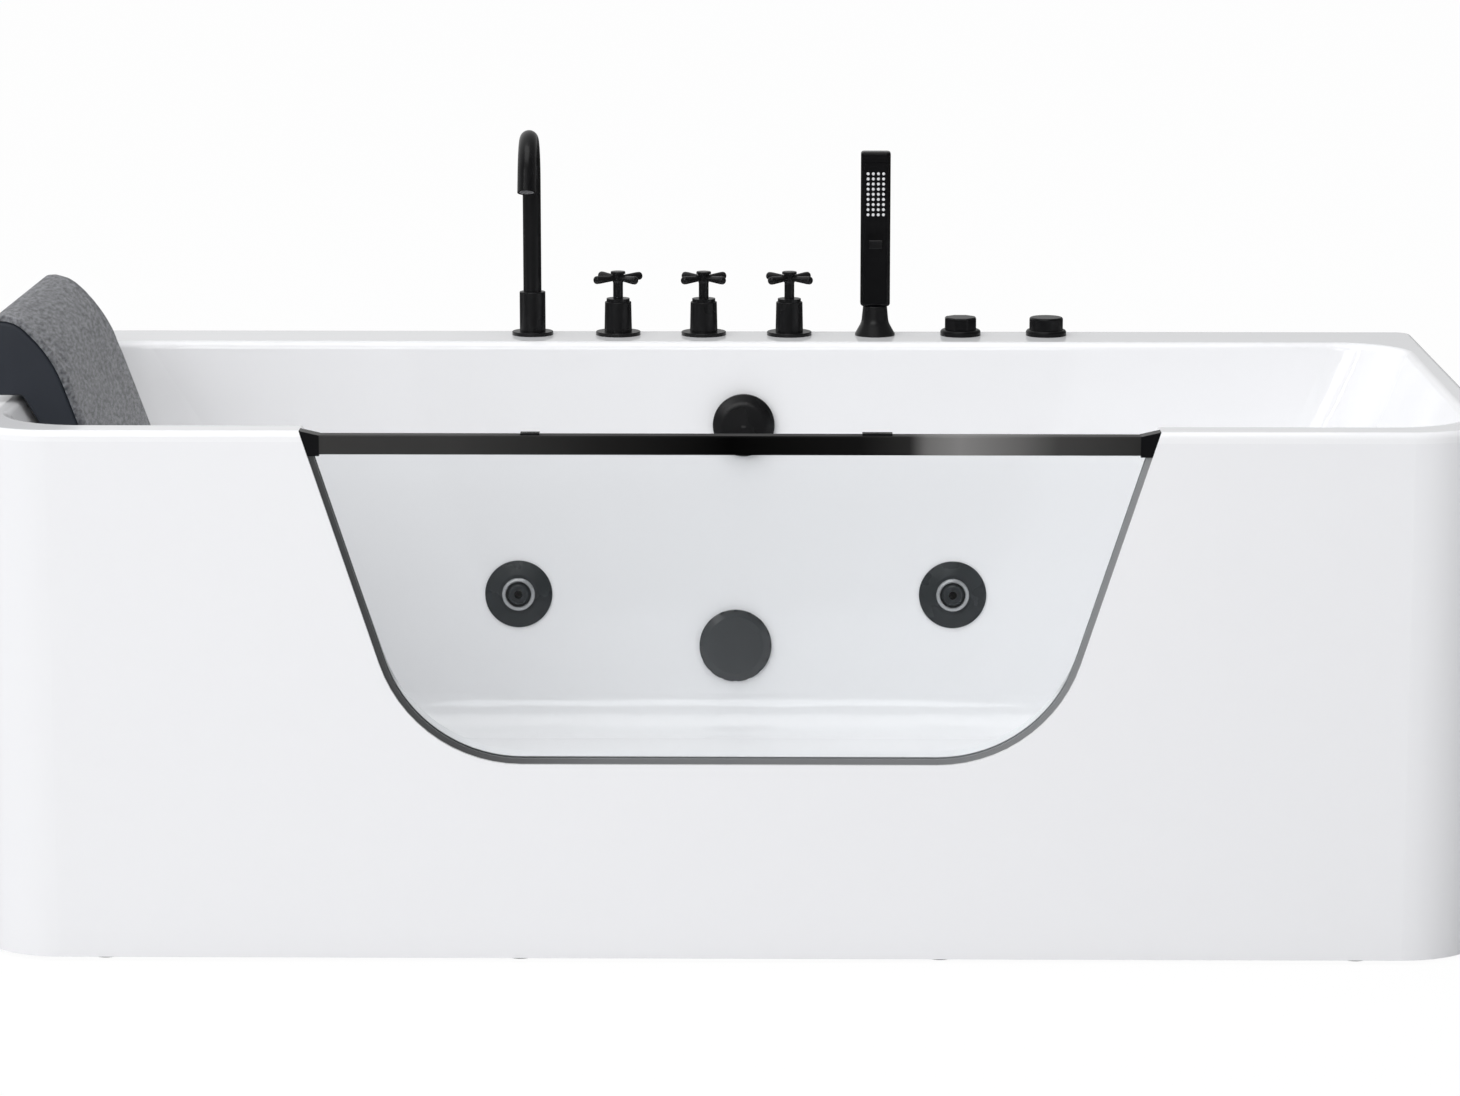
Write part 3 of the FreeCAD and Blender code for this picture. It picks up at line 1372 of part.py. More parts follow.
def suction_pipe():
    """From the suction fitting along the wall side to the pump's inlet."""
    y, z = behind_wall("suction_z", "suction_port_back")
    return bent_pipe("suction_pipe_run", [
        ("suction_port_reach", y, z), ("suction_port_reach + 60", y, z),
        ("suction_port_reach + 170", SUCTION_PIPE_Y, PUMP_Z),
        (PUMP_X, SUCTION_PIPE_Y, PUMP_Z), (PUMP_X, PUMP_BACK, PUMP_Z)],
        "suction_pipe_radius", "suction_bend")


JET_SEAT = "(jet_ring_radius + run_fit)"


def jet_flange(label, side):
    body = turned(label, [
        (JET_SEAT, "0"), ("jet_flange_radius", "0"),
        ("jet_flange_radius", "jet_flange_edge", "edge_round"),
        (f"{JET_SEAT} + 4", "jet_flange_rise"), (JET_SEAT, "jet_flange_rise")])
    return on_wall(body, f"{side} * jet_spread", "jet_z")


def jet_ring(label, side):
    """The knurled ring that turns to set the jet's flow."""
    bore = "(jet_ball_radius + free_gap)"
    body = turned(label, [
        (bore, "-jet_ring_depth"), ("jet_ring_radius", "-jet_ring_depth"),
        ("jet_ring_radius", "jet_ring_rise", "3"), (f"{bore} + 1", "jet_ring_rise"),
        (bore, "jet_ring_rise - 1")])
    notch = circles(body, label + "_notch_plan", "XY_Plane",
                    [("jet_ring_radius + 1.2", "0", "2.4")], "jet_flange_rise + 0.8")
    cut = pocket(body, label + "_notch", notch, "jet_ring_rise", against=True)
    ring = body.newObject("PartDesign::PolarPattern", label + "_notches")
    ring.Originals = [cut]
    ring.Axis = (notch, ["N_Axis"])
    ring.Angle = 360
    bind(ring, "Occurrences", "jet_notches")
    body.Tip = ring
    return on_wall(body, f"{side} * jet_spread", "jet_z")


def jet_nozzle(label, side):
    """The ball with the nozzle's bore through it, flattened at the front and the back."""
    body = new_body(label)
    ball = body.newObject("PartDesign::AdditiveSphere", label + "_ball")
    bind(ball, "Radius", "jet_ball_radius")
    bind(ball, "Angle1", "-asin(jet_ball_flat / jet_ball_radius)")
    bind(ball, "Angle2", "asin(jet_ball_flat / jet_ball_radius)")
    body.Tip = ball
    bore = circles(body, label + "_bore_plan", "XY_Plane", [("0", "0", "jet_bore")],
                   "-jet_ball_radius")
    pocket(body, label + "_bore", bore, "2 * jet_ball_radius", against=True)
    return on_wall(body, f"{side} * jet_spread", "jet_z")


def jet_body(label, side):
    """The fitting behind the wall: seat for the ring, locknut, water socket and air spigot."""
    step = "(jet_ring_depth + free_gap)"
    bore = "(jet_ball_radius - 2)"
    body = turned(label, [
        (JET_SEAT, "0"), ("jet_body_radius", "0"), ("jet_body_radius", "-skin"),
        ("jet_nut_radius", "-skin"), ("jet_nut_radius", "-skin - jet_nut_depth"),
        ("jet_body_radius", "-skin - jet_nut_depth"), ("jet_body_radius", "-jet_body_depth"),
        ("air_port_radius", "-jet_body_depth"),
        ("air_port_radius", "-jet_body_depth - air_port_reach"),
        ("0", "-jet_body_depth - air_port_reach"), ("0", "-jet_body_depth + 4"),
        (bore, "-jet_body_depth + 4"), (bore, f"-{step}"), (JET_SEAT, f"-{step}")])
    port = circles(body, label + "_port_circle", "XZ_Plane",
                   [("0", "-water_port_back", "water_pipe_radius + 2")], f"-{bore} - 1")
    pad(body, label + "_port", port, f"water_port_reach - {bore} - 1", against=True)
    return on_wall(body, f"{side} * jet_spread", "jet_z")


# ---------------------------------------------------------------------------
# Pipework, pump and control box
# ---------------------------------------------------------------------------

FRAME_TOP = "(frame_height + tube_size)"
FRAME_END = f"({END} - skin - frame_gap)"
FRAME_BACK = f"({SIDE} - skin - frame_gap)"
PUMP_Z = "(frame_height + tube_size + tray_thickness + pump_clearance + pump_radius)"
PUMP_X = f"({END} - pump_end_inset)"
PUMP_BACK = f"({SIDE} - pump_wall_inset)"
PUMP_SEAM = f"({PUMP_BACK} - wet_end_length)"
PUMP_MIDDLE = f"(({PUMP_BACK} - pump_spigot + {PUMP_SEAM}) / 2)"
PUMP_MEMBER_X = f"({END} - pump_member_inset)"
SUCTION_PIPE_Y = f"({SIDE} - suction_pipe_inset)"


def fused(name, members):
    """Several pieces joined into one solid."""
    joined = doc.addObject("Part::MultiFuse", name)
    joined.Shapes = members
    return joined


def stub(name, side, radius, start, length, along):
    """A branch on a jet's own axes, from a distance behind the wall or above its socket."""
    if along == "air":
        (y, z), angle = behind_wall("jet_z", start), "-90 - side_slope"
    else:
        y = f"{JET_SOCKET_Y} + {start} * sin(side_slope)"
        z = f"{JET_SOCKET_Z} + {start} * cos(side_slope)"
        angle = "-side_slope"
    return straight_pipe(name, radius, length, f"{side} * jet_spread", y, z,
                         Vector(1, 0, 0), angle)


def water_manifold():
    """Pressure pipe from the pump along the wall side, with a branch down to each jet."""
    run = bent_pipe("manifold_run", [
        ("-jet_spread - water_pipe_radius", WATER_PIPE_Y, "water_pipe_z"),
        (PUMP_X, WATER_PIPE_Y, "water_pipe_z"), (PUMP_X, PUMP_MIDDLE, "water_pipe_z - 44"),
        (PUMP_X, PUMP_MIDDLE, f"{PUMP_Z} + pump_outlet_reach")],
        "water_pipe_radius", "water_bend")
    length = f"(water_pipe_z - {JET_SOCKET_Z}) / cos(side_slope) - water_port_reach"
    branches = [stub(f"water_branch_{side}", side, "water_pipe_radius", "water_port_reach",
                     length, "water") for side in ("-1", "1")]
    return fused("water_manifold_pipes", [run] + branches)


def air_pipe():
    """Air line from the regulator on the deck to the back of both jets."""
    depth = f"(({AIR_PIPE_Y} - {wall_y('jet_z')}) / cos(side_slope))"
    level = f"(jet_z - {depth} * sin(side_slope))"
    end = "(jet_body_depth + air_port_reach)"
    run = straight_pipe("air_run", "air_pipe_radius",
                        f"{AIR} + jet_spread + 2 * air_pipe_radius",
                        "-jet_spread - air_pipe_radius", AIR_PIPE_Y, level, Vector(0, 1, 0), "90")
    riser = straight_pipe("air_riser", "air_pipe_radius",
                          f"rim_height - shank_length - air_spigot_length - {level}",
                          AIR, DECK_Y, level)
    branches = [stub(f"air_branch_{side}", side, "air_pipe_radius", end, f"{depth} - ({end})",
                     "air") for side in ("-1", "1")]
    return fused("air_pipes", [run, riser] + branches)


def pump_wet_end():
    """The pump's housing: inlet on the axis at the back, outlet on top, bolted rim."""
    body = turned("pump_wet_end", [
        ("0", "0"), ("suction_pipe_radius + 2", "0"), ("suction_pipe_radius + 2", "pump_spigot"),
        ("pump_radius - 15", "pump_spigot"), ("pump_radius - 8", "pump_spigot + 12", "4"),
        ("pump_radius - 8", "wet_end_length - 12"), ("pump_radius", "wet_end_length - 12"),
        ("pump_radius", "wet_end_length"), ("0", "wet_end_length")])
    outlet = circles(body, "pump_outlet_circle", "XZ_Plane",
                     [("0", f"{PUMP_BACK} - {PUMP_MIDDLE}", "water_pipe_radius + 2")],
                     "-pump_radius / 2")
    pad(body, "pump_outlet", outlet, "pump_outlet_reach - pump_radius / 2", against=True)
    return place(body, PUMP_X, PUMP_BACK, PUMP_Z, Vector(1, 0, 0), "90")


def pump_motor():
    """Closed motor with cooling fins, a terminal box on top and its foot on the tray."""
    ribs = []
    for step in range(5):
        low = f"(motor_length * 0.3 + {step} * fin_pitch)"
        ribs += [("motor_radius", low), ("motor_radius - fin_depth", low),
                 ("motor_radius - fin_depth", f"{low} + fin_pitch / 2"),
                 ("motor_radius", f"{low} + fin_pitch / 2")]
    body = turned("pump_motor", [("0", "0"), ("motor_radius", "0")] + ribs + [
        ("motor_radius", "motor_length", "8"), ("0", "motor_length")])
    box = outline(body, "terminal_box_plan", "XZ_Plane",
                  box_corners("-30", "30", "12", "52"), "-motor_radius * 0.8")
    pad(body, "terminal_box", box, "motor_radius * 0.2 + 18", against=True)
    foot = outline(body, "motor_foot_plan", "XZ_Plane", box_corners(
        "-motor_radius * 0.7", "motor_radius * 0.7", "20", "motor_length - 30"),
        "motor_radius * 0.6")
    pad(body, "motor_foot", foot, "pump_radius + pump_clearance - motor_radius * 0.6")
    return place(body, PUMP_X, PUMP_SEAM, PUMP_Z, Vector(1, 0, 0), "90")


def control_box():
    """Sealed box on the side of a rear post, with cord glands in its underside."""
    body = new_body("control_box")
    plan = outline(body, "control_box_plan", "XY_Plane", box_corners(
        "0", "box_width", "-box_depth", "0"))
    pad(body, "control_box_block", plan, "box_height")
    dress(body, "control_box_rounding", "Fillet", "5",
          lambda edge: edge.BoundBox.ZLength > value("box_height") - 1)
    glands = circles(body, "gland_plan", "XY_Plane", [
        ("box_width * 0.25", "-box_depth / 2", "gland_radius"),
        ("box_width * 0.5", "-box_depth / 2", "gland_radius"),
        ("box_width * 0.75", "-box_depth / 2", "gland_radius")])
    pad(body, "glands", glands, "gland_length", against=True)
    return place(body, "inner_member_x + post_size / 2", FRAME_BACK, "box_z")


# ---------------------------------------------------------------------------
# Base board, frame, posts and feet
# ---------------------------------------------------------------------------

def base_board():
    """The board laminated under the basin's floor."""
    depth = f"({DEPTH} + skin)"
    head = f"(-{BASIN_HEAD} + {depth} * tan(head_slope) + board_inset)"
    foot = f"({BASIN_FOOT} - {depth} * tan(foot_slope) - board_inset)"
    front = f"(-{BASIN_FRONT} + {depth} * tan(side_slope) + board_inset)"
    back = f"({BASIN_BACK} - {depth} * tan(side_slope) - board_inset)"
    body = new_body("base_board")
    plan = outline(body, "board_plan", "XY_Plane", [
        (x, y, "basin_floor_corner - board_inset")
        for x, y in box_corners(head, foot, front, back)], FRAME_TOP)
    pad(body, "board", plan, "board_thickness")
    hole = circles(body, "board_hole_plan", "XY_Plane", [("0", "0", "drain_hole")], FRAME_TOP)
    pocket(body, "board_hole", hole, "board_thickness", against=True)
    return body


def frame_tube(name, outer, inner):
    """Square tube in the frame, from the ends of its two sides in plan; cut ends stay open."""
    def line(share):
        return [tuple(f"({a} + ({b} - ({a})) * {share})" for a, b in zip(start, end))
                for start, end in zip(outer, inner)]

    body = new_body(name)
    wall = "tube_wall / tube_size"
    near, far = line(wall), line(f"(1 - {wall})")
    block = outline(body, name + "_plan", "XY_Plane", [*outer, *reversed(inner)],
                    "frame_height")
    pad(body, name + "_block", block, "tube_size")
    hollow = outline(body, name + "_hollow_plan", "XY_Plane", [*near, *reversed(far)],
                     "frame_height + tube_wall")
    pocket(body, name + "_hollow", hollow, "tube_size - 2 * tube_wall", against=True)
    return body


def base_frame():
    """Welded square tube: rails with mitred front corners, cross-members, the pump's tray."""
    half = "tube_size / 2"
    corner = "(front_corner_radius - skin - frame_gap)"
    mitre = f"({corner} + tube_size * tan(22.5))"
    end, back = FRAME_END, FRAME_BACK
    inner_end, inner_back = f"({end} - tube_size)", f"({back} - tube_size)"
    front_outer, front_inner = f"({end} - {corner})", f"({end} - {mitre})"
    tubes = [
        frame_tube("front_rail", [("-" + front_outer, "-" + back), (front_outer, "-" + back)],
                   [("-" + front_inner, "-" + inner_back), (front_inner, "-" + inner_back)]),
        frame_tube("back_rail", [("-" + inner_end, back), (inner_end, back)],
                   [("-" + inner_end, inner_back), (inner_end, inner_back)])]
    for side, name in (("-", "head"), ("", "foot")):
        outer = [(side + front_outer, "-" + back), (side + end, f"-({back} - {corner})")]
        inner = [(side + front_inner, "-" + inner_back),
                 (side + inner_end, f"-({back} - {mitre})")]
        tubes.append(frame_tube(name + "_corner", outer, inner))
        tubes.append(frame_tube(name + "_rail", [outer[1], (side + end, back)],
                                [inner[1], (side + inner_end, back)]))
    spots = ["-inner_member_x", "-drain_member_x", "drain_member_x", "inner_member_x",
             PUMP_MEMBER_X]
    for number, x in enumerate(spots, start=1):
        tubes.append(frame_tube(f"member_{number}", [
            (f"({x} - {half})", "-" + inner_back), (f"({x} - {half})", inner_back)],
            [(f"({x} + {half})", "-" + inner_back), (f"({x} + {half})", inner_back)]))
    tray = new_body("pump_tray")
    plan = outline(tray, "tray_plan", "XY_Plane", box_corners(
        f"{PUMP_MEMBER_X} - {half}", FRAME_END, f"{PUMP_SEAM} - motor_length - 20",
        f"{FRAME_BACK} - post_size - free_gap"), FRAME_TOP)
    pad(tray, "tray", plan, "tray_thickness")
    return group("frame_tubes", tubes + [tray])


def deck_posts():
    """Square tube posts that carry the deck and the front rim on the frame."""
    row = f"({FRAME_BACK} - post_size / 2)"
    end = f"({FRAME_END} - post_size / 2)"
    spots = [("-" + end, row), ("-rear_post_x", row), ("rear_post_x", row), (end, row),
             ("-front_post_x", "-" + row), ("front_post_x", "-" + row)]
    posts = []
    for number, (x, y) in enumerate(spots, start=1):
        sizes = (("post_outside", "post_size"), ("post_bore", "(post_size - 2 * tube_wall)"))
        boxes = []
        for name, size in sizes:
            box = doc.addObject("Part::Box", f"{name}_{number}")
            bind(box, "Length", size)
            bind(box, "Width", size)
            bind(box, "Height", f"rim_height - rim_lip - {FRAME_TOP}")
            boxes.append(place(box, f"{x} - {size} / 2", f"{y} - {size} / 2", FRAME_TOP))
        post = doc.addObject("Part::Cut", f"post_{number}")
        post.Base, post.Tool = boxes
        posts.append(post)
    return group("post_set", posts)


def levelling_feet():
    """Screw feet under the frame's front and back rails, each with its locknut."""
    row = f"({FRAME_BACK} - tube_size / 2)"
    feet = []
    for x in ("-front_post_x", "-inner_foot_x", "inner_foot_x", "front_post_x"):
        for y in ("-" + row, row):
            number = len(feet) + 1
            foot = turned(f"foot_{number}", [
                ("0", "0"), ("foot_radius - 2", "0"), ("foot_radius", "2"),
                ("foot_radius", "foot_height - 4"), ("stud_radius + 4", "foot_height"),
                ("stud_radius", "foot_height"), ("stud_radius", "frame_height - foot_nut_height"),
                ("foot_nut_width / 2", "frame_height - foot_nut_height"),
                ("foot_nut_width / 2", "frame_height"), ("0", "frame_height")])
            feet.append(place(foot, x, y))
    return group("foot_set", feet)


# ---------------------------------------------------------------------------
# Assembly and export
# ---------------------------------------------------------------------------

node(tub_shell(), "tub_shell")
node(apron_skirt(), "apron_skirt")
node(window_glass(), "window_glass")
node(window_seal(), "window_seal")
node(glass_rail(), "glass_rail")
node(rail_bracket("left_rail_bracket", "-1"), "left_rail_bracket")
node(rail_bracket("right_rail_bracket", "1"), "right_rail_bracket")
node(rail_clips(), "rail_clips")
node(pillow_core(), "pillow_core")
node(pillow_pad(), "pillow_pad")
node(pillow_cups(), "pillow_cups")
node(spout_base(), "spout_base")
node(spout(), "spout")
node(spout_aerator(), "spout_aerator")
for label, x in (("hot", HOT), ("diverter", DIVERTER), ("cold", COLD)):
    node(escutcheon(label + "_escutcheon", x), label + "_escutcheon")
    node(cross_handle(label + "_handle", x, label + "_handle_turn"), label + "_handle")
node(valve("hot_valve", HOT, [("branch_drop", "YZ_Plane", False)], True), "hot_valve")
node(valve("diverter_valve", DIVERTER, [
    ("branch_drop", "YZ_Plane", False), ("branch_drop", "YZ_Plane", True),
    ("spout_branch_drop", "XZ_Plane", False), ("shower_branch_drop", "XZ_Plane", False)]),
    "diverter_valve")
node(valve("cold_valve", COLD, [("branch_drop", "YZ_Plane", True)], True), "cold_valve")
node(feed_pipes(), "feed_pipes")
node(shower_holder(), "shower_holder")
node(hand_shower(), "hand_shower")
node(hand_shower_cap(), "hand_shower_cap")
node(spray_nozzles(), "spray_nozzles")
node(spray_selector(), "spray_selector")
node(air_valve(), "air_valve")
node(air_knob(), "air_knob")
node(button_housing(), "button_housing")
node(pump_button(), "pump_button")
node(deck_nuts(), "deck_nuts")
node(overflow_knob(), "overflow_knob")
node(overflow_body(), "overflow_body")
node(overflow_pipe(), "overflow_pipe")
node(drain_flange(), "drain_flange")
node(drain_plug(), "drain_plug")
node(drain_body(), "drain_body")
node(suction_cover(), "suction_cover")
node(suction_body(), "suction_body")
node(suction_pipe(), "suction_pipe")
for hand, side in (("left", "-1"), ("right", "1")):
    node(jet_flange(hand + "_jet_flange", side), hand + "_jet_flange")
    node(jet_ring(hand + "_jet_ring", side), hand + "_jet_ring")
    node(jet_nozzle(hand + "_jet_nozzle", side), hand + "_jet_nozzle")
    node(jet_body(hand + "_jet_body", side), hand + "_jet_body")
node(water_manifold(), "water_manifold")
node(air_pipe(), "air_pipe")
node(pump_wet_end(), "pump_wet_end")
node(pump_motor(), "pump_motor")
node(control_box(), "control_box")
node(base_board(), "base_board")
node(base_frame(), "base_frame")
node(deck_posts(), "deck_posts")
node(levelling_feet(), "levelling_feet")

doc.recompute()
for item in doc.Objects:
    if "Invalid" in item.State or "Error" in item.State:
        raise RuntimeError(f"{item.Name} failed: {item.State}")
os.makedirs("parts", exist_ok=True)
for part in NODES:
    if part.Shape.isNull() or not part.Shape.isValid():
        raise RuntimeError(part.Label + " has no valid shape")
for part in NODES:
    part.Shape.exportStep(f"parts/{part.Label}.step")
    box = part.Shape.optimalBoundingBox()
    print(part.Label, len(part.Shape.Solids), round(part.Shape.Volume),
          [round(side, 1) for side in (box.XMin, box.XMax, box.YMin, box.YMax, box.ZMin, box.ZMax)])
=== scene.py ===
# %% [markdown]
# # A jetted bathtub with a glass front
# The tub stands on screw feet behind a white apron. A shaped pane of glass is let into the
# front, a row of black fittings stands on the back deck, and a soft pillow hangs on the head
# end. The rigid pieces come ready made from the CAD model, so this lesson gives them their
# finishes, makes the soft and small pieces, and sets up the light and the camera.

# %% Load the model
import math

import bmesh
import bpy
from mathutils import Matrix, Vector


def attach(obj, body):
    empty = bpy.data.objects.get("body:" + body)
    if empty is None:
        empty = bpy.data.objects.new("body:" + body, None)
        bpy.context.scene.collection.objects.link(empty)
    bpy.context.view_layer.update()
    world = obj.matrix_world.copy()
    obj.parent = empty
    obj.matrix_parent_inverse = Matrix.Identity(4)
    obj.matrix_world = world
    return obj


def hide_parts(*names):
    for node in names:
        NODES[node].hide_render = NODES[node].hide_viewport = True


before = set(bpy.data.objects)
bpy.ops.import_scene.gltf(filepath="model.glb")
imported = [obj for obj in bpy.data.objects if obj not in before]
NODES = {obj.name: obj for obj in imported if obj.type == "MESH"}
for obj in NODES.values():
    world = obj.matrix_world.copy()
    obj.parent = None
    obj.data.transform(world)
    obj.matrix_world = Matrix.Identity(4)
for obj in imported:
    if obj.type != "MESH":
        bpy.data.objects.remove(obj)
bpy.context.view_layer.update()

# %% [markdown]
# ## The camera
# A long lens some five metres away, above the rim and almost square to the front, comes near
# to the photograph's view. The lines that run away from the viewer meet above the picture,
# which gives the tilt. Place and turns are in metres and degrees, and the focal length is in
# the photograph's pixels. Other distances fit nearly as well, so these are an estimate.

# %% Camera
camera = bpy.data.objects.new("camera", bpy.data.cameras.new("camera"))
bpy.context.scene.collection.objects.link(camera)
PLACE = (0.0561, -5.3422, 1.4022)
TILT_DOWN, TURN_LEFT = 10.670, 0.6435
FOCAL_PIXELS, PICTURE_WIDTH = 4578.8, 1460
SENSOR_WIDTH = 36
camera.location = PLACE
camera.rotation_euler = (math.radians(90 - TILT_DOWN), 0, math.radians(TURN_LEFT))
camera.data.sensor_width = SENSOR_WIDTH
camera.data.lens = FOCAL_PIXELS * SENSOR_WIDTH / PICTURE_WIDTH
bpy.context.scene.camera = camera
print("lens", round(camera.data.lens, 1), "mm")

# %% [markdown]
# ## World, floor and lamps
# A catalogue picture has a floor with no horizon, so the world and the floor look white to the
# camera, also through the glass. They light the tub less than that: the world fades to the
# right, and the floor counts as light grey paper. In reflections the world is white behind
# the tub and nearly dark in front of it, and the floor is dark, which keeps the black fittings
# black. Two wide lamps give soft shadows, and a narrow one adds a streak to glossy acrylic.

# %% Small steps for node trees
PAPER_WHITE = (1.0, 1.0, 1.0, 1)


def largest(tree, *outputs):
    """The largest of several values."""
    result = outputs[0]
    for other in outputs[1:]:
        step = tree.nodes.new("ShaderNodeMath")
        step.operation = "MAXIMUM"
        tree.links.new(result, step.inputs[0])
        tree.links.new(other, step.inputs[1])
        result = step.outputs[0]
    return result


def ramp(tree, value, start, end, low, high):
    """Low at the start of a span of a value and high at its end."""
    step = tree.nodes.new("ShaderNodeMapRange")
    step.interpolation_type = "SMOOTHSTEP"
    step.inputs["From Min"].default_value, step.inputs["From Max"].default_value = start, end
    step.inputs["To Min"].default_value, step.inputs["To Max"].default_value = low, high
    tree.links.new(value, step.inputs["Value"])
    return step.outputs[0]


def times(tree, first, second):
    """The product of two values, each a socket or a plain number."""
    step = tree.nodes.new("ShaderNodeMath")
    step.operation = "MULTIPLY"
    for socket, value in zip(step.inputs, (first, second)):
        if isinstance(value, (int, float)):
            socket.default_value = value
        else:
            tree.links.new(value, socket)
    return step.outputs[0]


print("paper white is", PAPER_WHITE[:3])

# %% World


def make_world(ambient, right_share, mirror_behind, mirror_front):
    """Light that fades to the right; reflections see white behind and little in front."""
    world = bpy.data.worlds.new("studio")
    bpy.context.scene.world = world
    world.use_nodes = True
    tree = world.node_tree
    tree.nodes.clear()
    direction = tree.nodes.new("ShaderNodeTexCoord")
    axes = tree.nodes.new("ShaderNodeSeparateXYZ")
    tree.links.new(direction.outputs["Generated"], axes.inputs[0])
    side = ramp(tree, axes.outputs["X"], -0.9, 0.9, 1, right_share)
    behind = ramp(tree, axes.outputs["Y"], -0.5, 0.3, mirror_front, mirror_behind)
    lit = tree.nodes.new("ShaderNodeBackground")
    lit.inputs["Color"].default_value = (0.97, 0.98, 1.0, 1)
    tree.links.new(times(tree, side, ambient), lit.inputs["Strength"])
    mirrored = tree.nodes.new("ShaderNodeBackground")
    tree.links.new(times(tree, side, behind), mirrored.inputs["Strength"])
    seen = tree.nodes.new("ShaderNodeBackground")
    for white in (mirrored, seen):
        white.inputs["Color"].default_value = PAPER_WHITE
    path = tree.nodes.new("ShaderNodeLightPath")
    in_mirror = tree.nodes.new("ShaderNodeMixShader")
    tree.links.new(path.outputs["Is Glossy Ray"], in_mirror.inputs[0])
    tree.links.new(lit.outputs[0], in_mirror.inputs[1])
    tree.links.new(mirrored.outputs[0], in_mirror.inputs[2])
    direct = largest(tree, path.outputs["Is Camera Ray"], path.outputs["Is Transmission Ray"])
    mix = tree.nodes.new("ShaderNodeMixShader")
    out = tree.nodes.new("ShaderNodeOutputWorld")
    tree.links.new(direct, mix.inputs[0])
    tree.links.new(in_mirror.outputs[0], mix.inputs[1])
    tree.links.new(seen.outputs[0], mix.inputs[2])
    tree.links.new(mix.outputs[0], out.inputs[0])
    print("world", world.name)


make_world(ambient=1.0, right_share=0.22, mirror_behind=0.9, mirror_front=0.12)

# %% Floor
FLOOR_GREY, FLOOR_GLOW = 0.82, 1.012


def make_floor(half, shadow_share, mirror_floor):
    """A floor that looks white, keeps a share of its shading, and is dim in reflections."""
    mesh = bpy.data.meshes.new("floor")
    mesh.from_pydata([(-half, -half, 0), (half, -half, 0), (half, half, 0), (-half, half, 0)],
                     [], [(0, 1, 2, 3)])
    floor = bpy.data.objects.new("floor", mesh)
    bpy.context.scene.collection.objects.link(floor)
    material = bpy.data.materials.new("floor_paper")
    material.use_nodes = True
    tree = material.node_tree
    tree.nodes.clear()
    paper = tree.nodes.new("ShaderNodeBsdfDiffuse")
    paper.inputs["Color"].default_value = (FLOOR_GREY, FLOOR_GREY, FLOOR_GREY, 1)
    glow = tree.nodes.new("ShaderNodeEmission")
    glow.inputs["Color"].default_value = PAPER_WHITE
    glow.inputs["Strength"].default_value = FLOOR_GLOW
    dim = tree.nodes.new("ShaderNodeEmission")
    dim.inputs["Strength"].default_value = mirror_floor
    path = tree.nodes.new("ShaderNodeLightPath")
    in_mirror = tree.nodes.new("ShaderNodeMixShader")
    tree.links.new(path.outputs["Is Glossy Ray"], in_mirror.inputs[0])
    tree.links.new(paper.outputs[0], in_mirror.inputs[1])
    tree.links.new(dim.outputs[0], in_mirror.inputs[2])
    direct = largest(tree, path.outputs["Is Camera Ray"], path.outputs["Is Transmission Ray"])
    mix = tree.nodes.new("ShaderNodeMixShader")
    out = tree.nodes.new("ShaderNodeOutputMaterial")
    tree.links.new(times(tree, direct, 1 - shadow_share), mix.inputs[0])
    tree.links.new(in_mirror.outputs[0], mix.inputs[1])
    tree.links.new(glow.outputs[0], mix.inputs[2])
    tree.links.new(mix.outputs[0], out.inputs[0])
    mesh.materials.append(material)
    print("floor", 2 * half, "m wide")


make_floor(half=30, shadow_share=0.05, mirror_floor=0.10)

# %% Lamps


def add_lamp(name, place, target, size, watts):
    """A rectangular lamp that faces its target."""
    lamp = bpy.data.objects.new(name, bpy.data.lights.new(name, "AREA"))
    lamp.data.shape = "RECTANGLE"
    lamp.data.size, lamp.data.size_y = size
    lamp.data.energy = watts
    lamp.location = place
    lamp.rotation_euler = (Vector(target) - Vector(place)).to_track_quat("-Z", "Y").to_euler()
    bpy.context.scene.collection.objects.link(lamp)


add_lamp("front_softbox", place=(-1.3, -5.5, 3.0), target=(0, 0, 0.4), size=(4.0, 2.4),
         watts=104)
add_lamp("top_softbox", place=(-0.3, -0.7, 4.2), target=(-0.2, 0.1, 0.4), size=(2.8, 2.8),
         watts=52)
add_lamp("window_strip", place=(-2.2, -2.6, 2.6), target=(0.6, 0.1, 0.4), size=(0.16, 1.6),
         watts=7)
bpy.context.scene.view_settings.view_transform = "Standard"
print(len(bpy.data.lights), "lamps are in place")

# %% [markdown]
# ## Shared effects
# Two effects come back in nearly every finish. Nothing that is moulded, sprayed or sewn has
# one exact colour, so one group drifts between two tones. And nothing is perfectly smooth, so
# another gives a fine height for bump. They are node groups with named sockets, built once.

# %% Node groups
MIDDLE = 0.5
MIX_COLOR_A, MIX_COLOR_B, MIX_COLOR_RESULT = 6, 7, 2


def new_group(name, inputs, outputs):
    """A shader group with named sockets, and its two end nodes."""
    group = bpy.data.node_groups.new(name, "ShaderNodeTree")
    for label, kind, default in inputs:
        socket = group.interface.new_socket(label, in_out="INPUT", socket_type=kind)
        socket.default_value = default
    for label, kind in outputs:
        group.interface.new_socket(label, in_out="OUTPUT", socket_type=kind)
    return group, group.nodes.new("NodeGroupInput"), group.nodes.new("NodeGroupOutput")


def stretched_place(group, source):
    """Object coordinates multiplied by the group's Stretch."""
    place = group.nodes.new("ShaderNodeTexCoord")
    stretch = group.nodes.new("ShaderNodeVectorMath")
    stretch.operation = "MULTIPLY"
    group.links.new(place.outputs["Object"], stretch.inputs[0])
    group.links.new(source.outputs["Stretch"], stretch.inputs[1])
    return stretch.outputs[0]


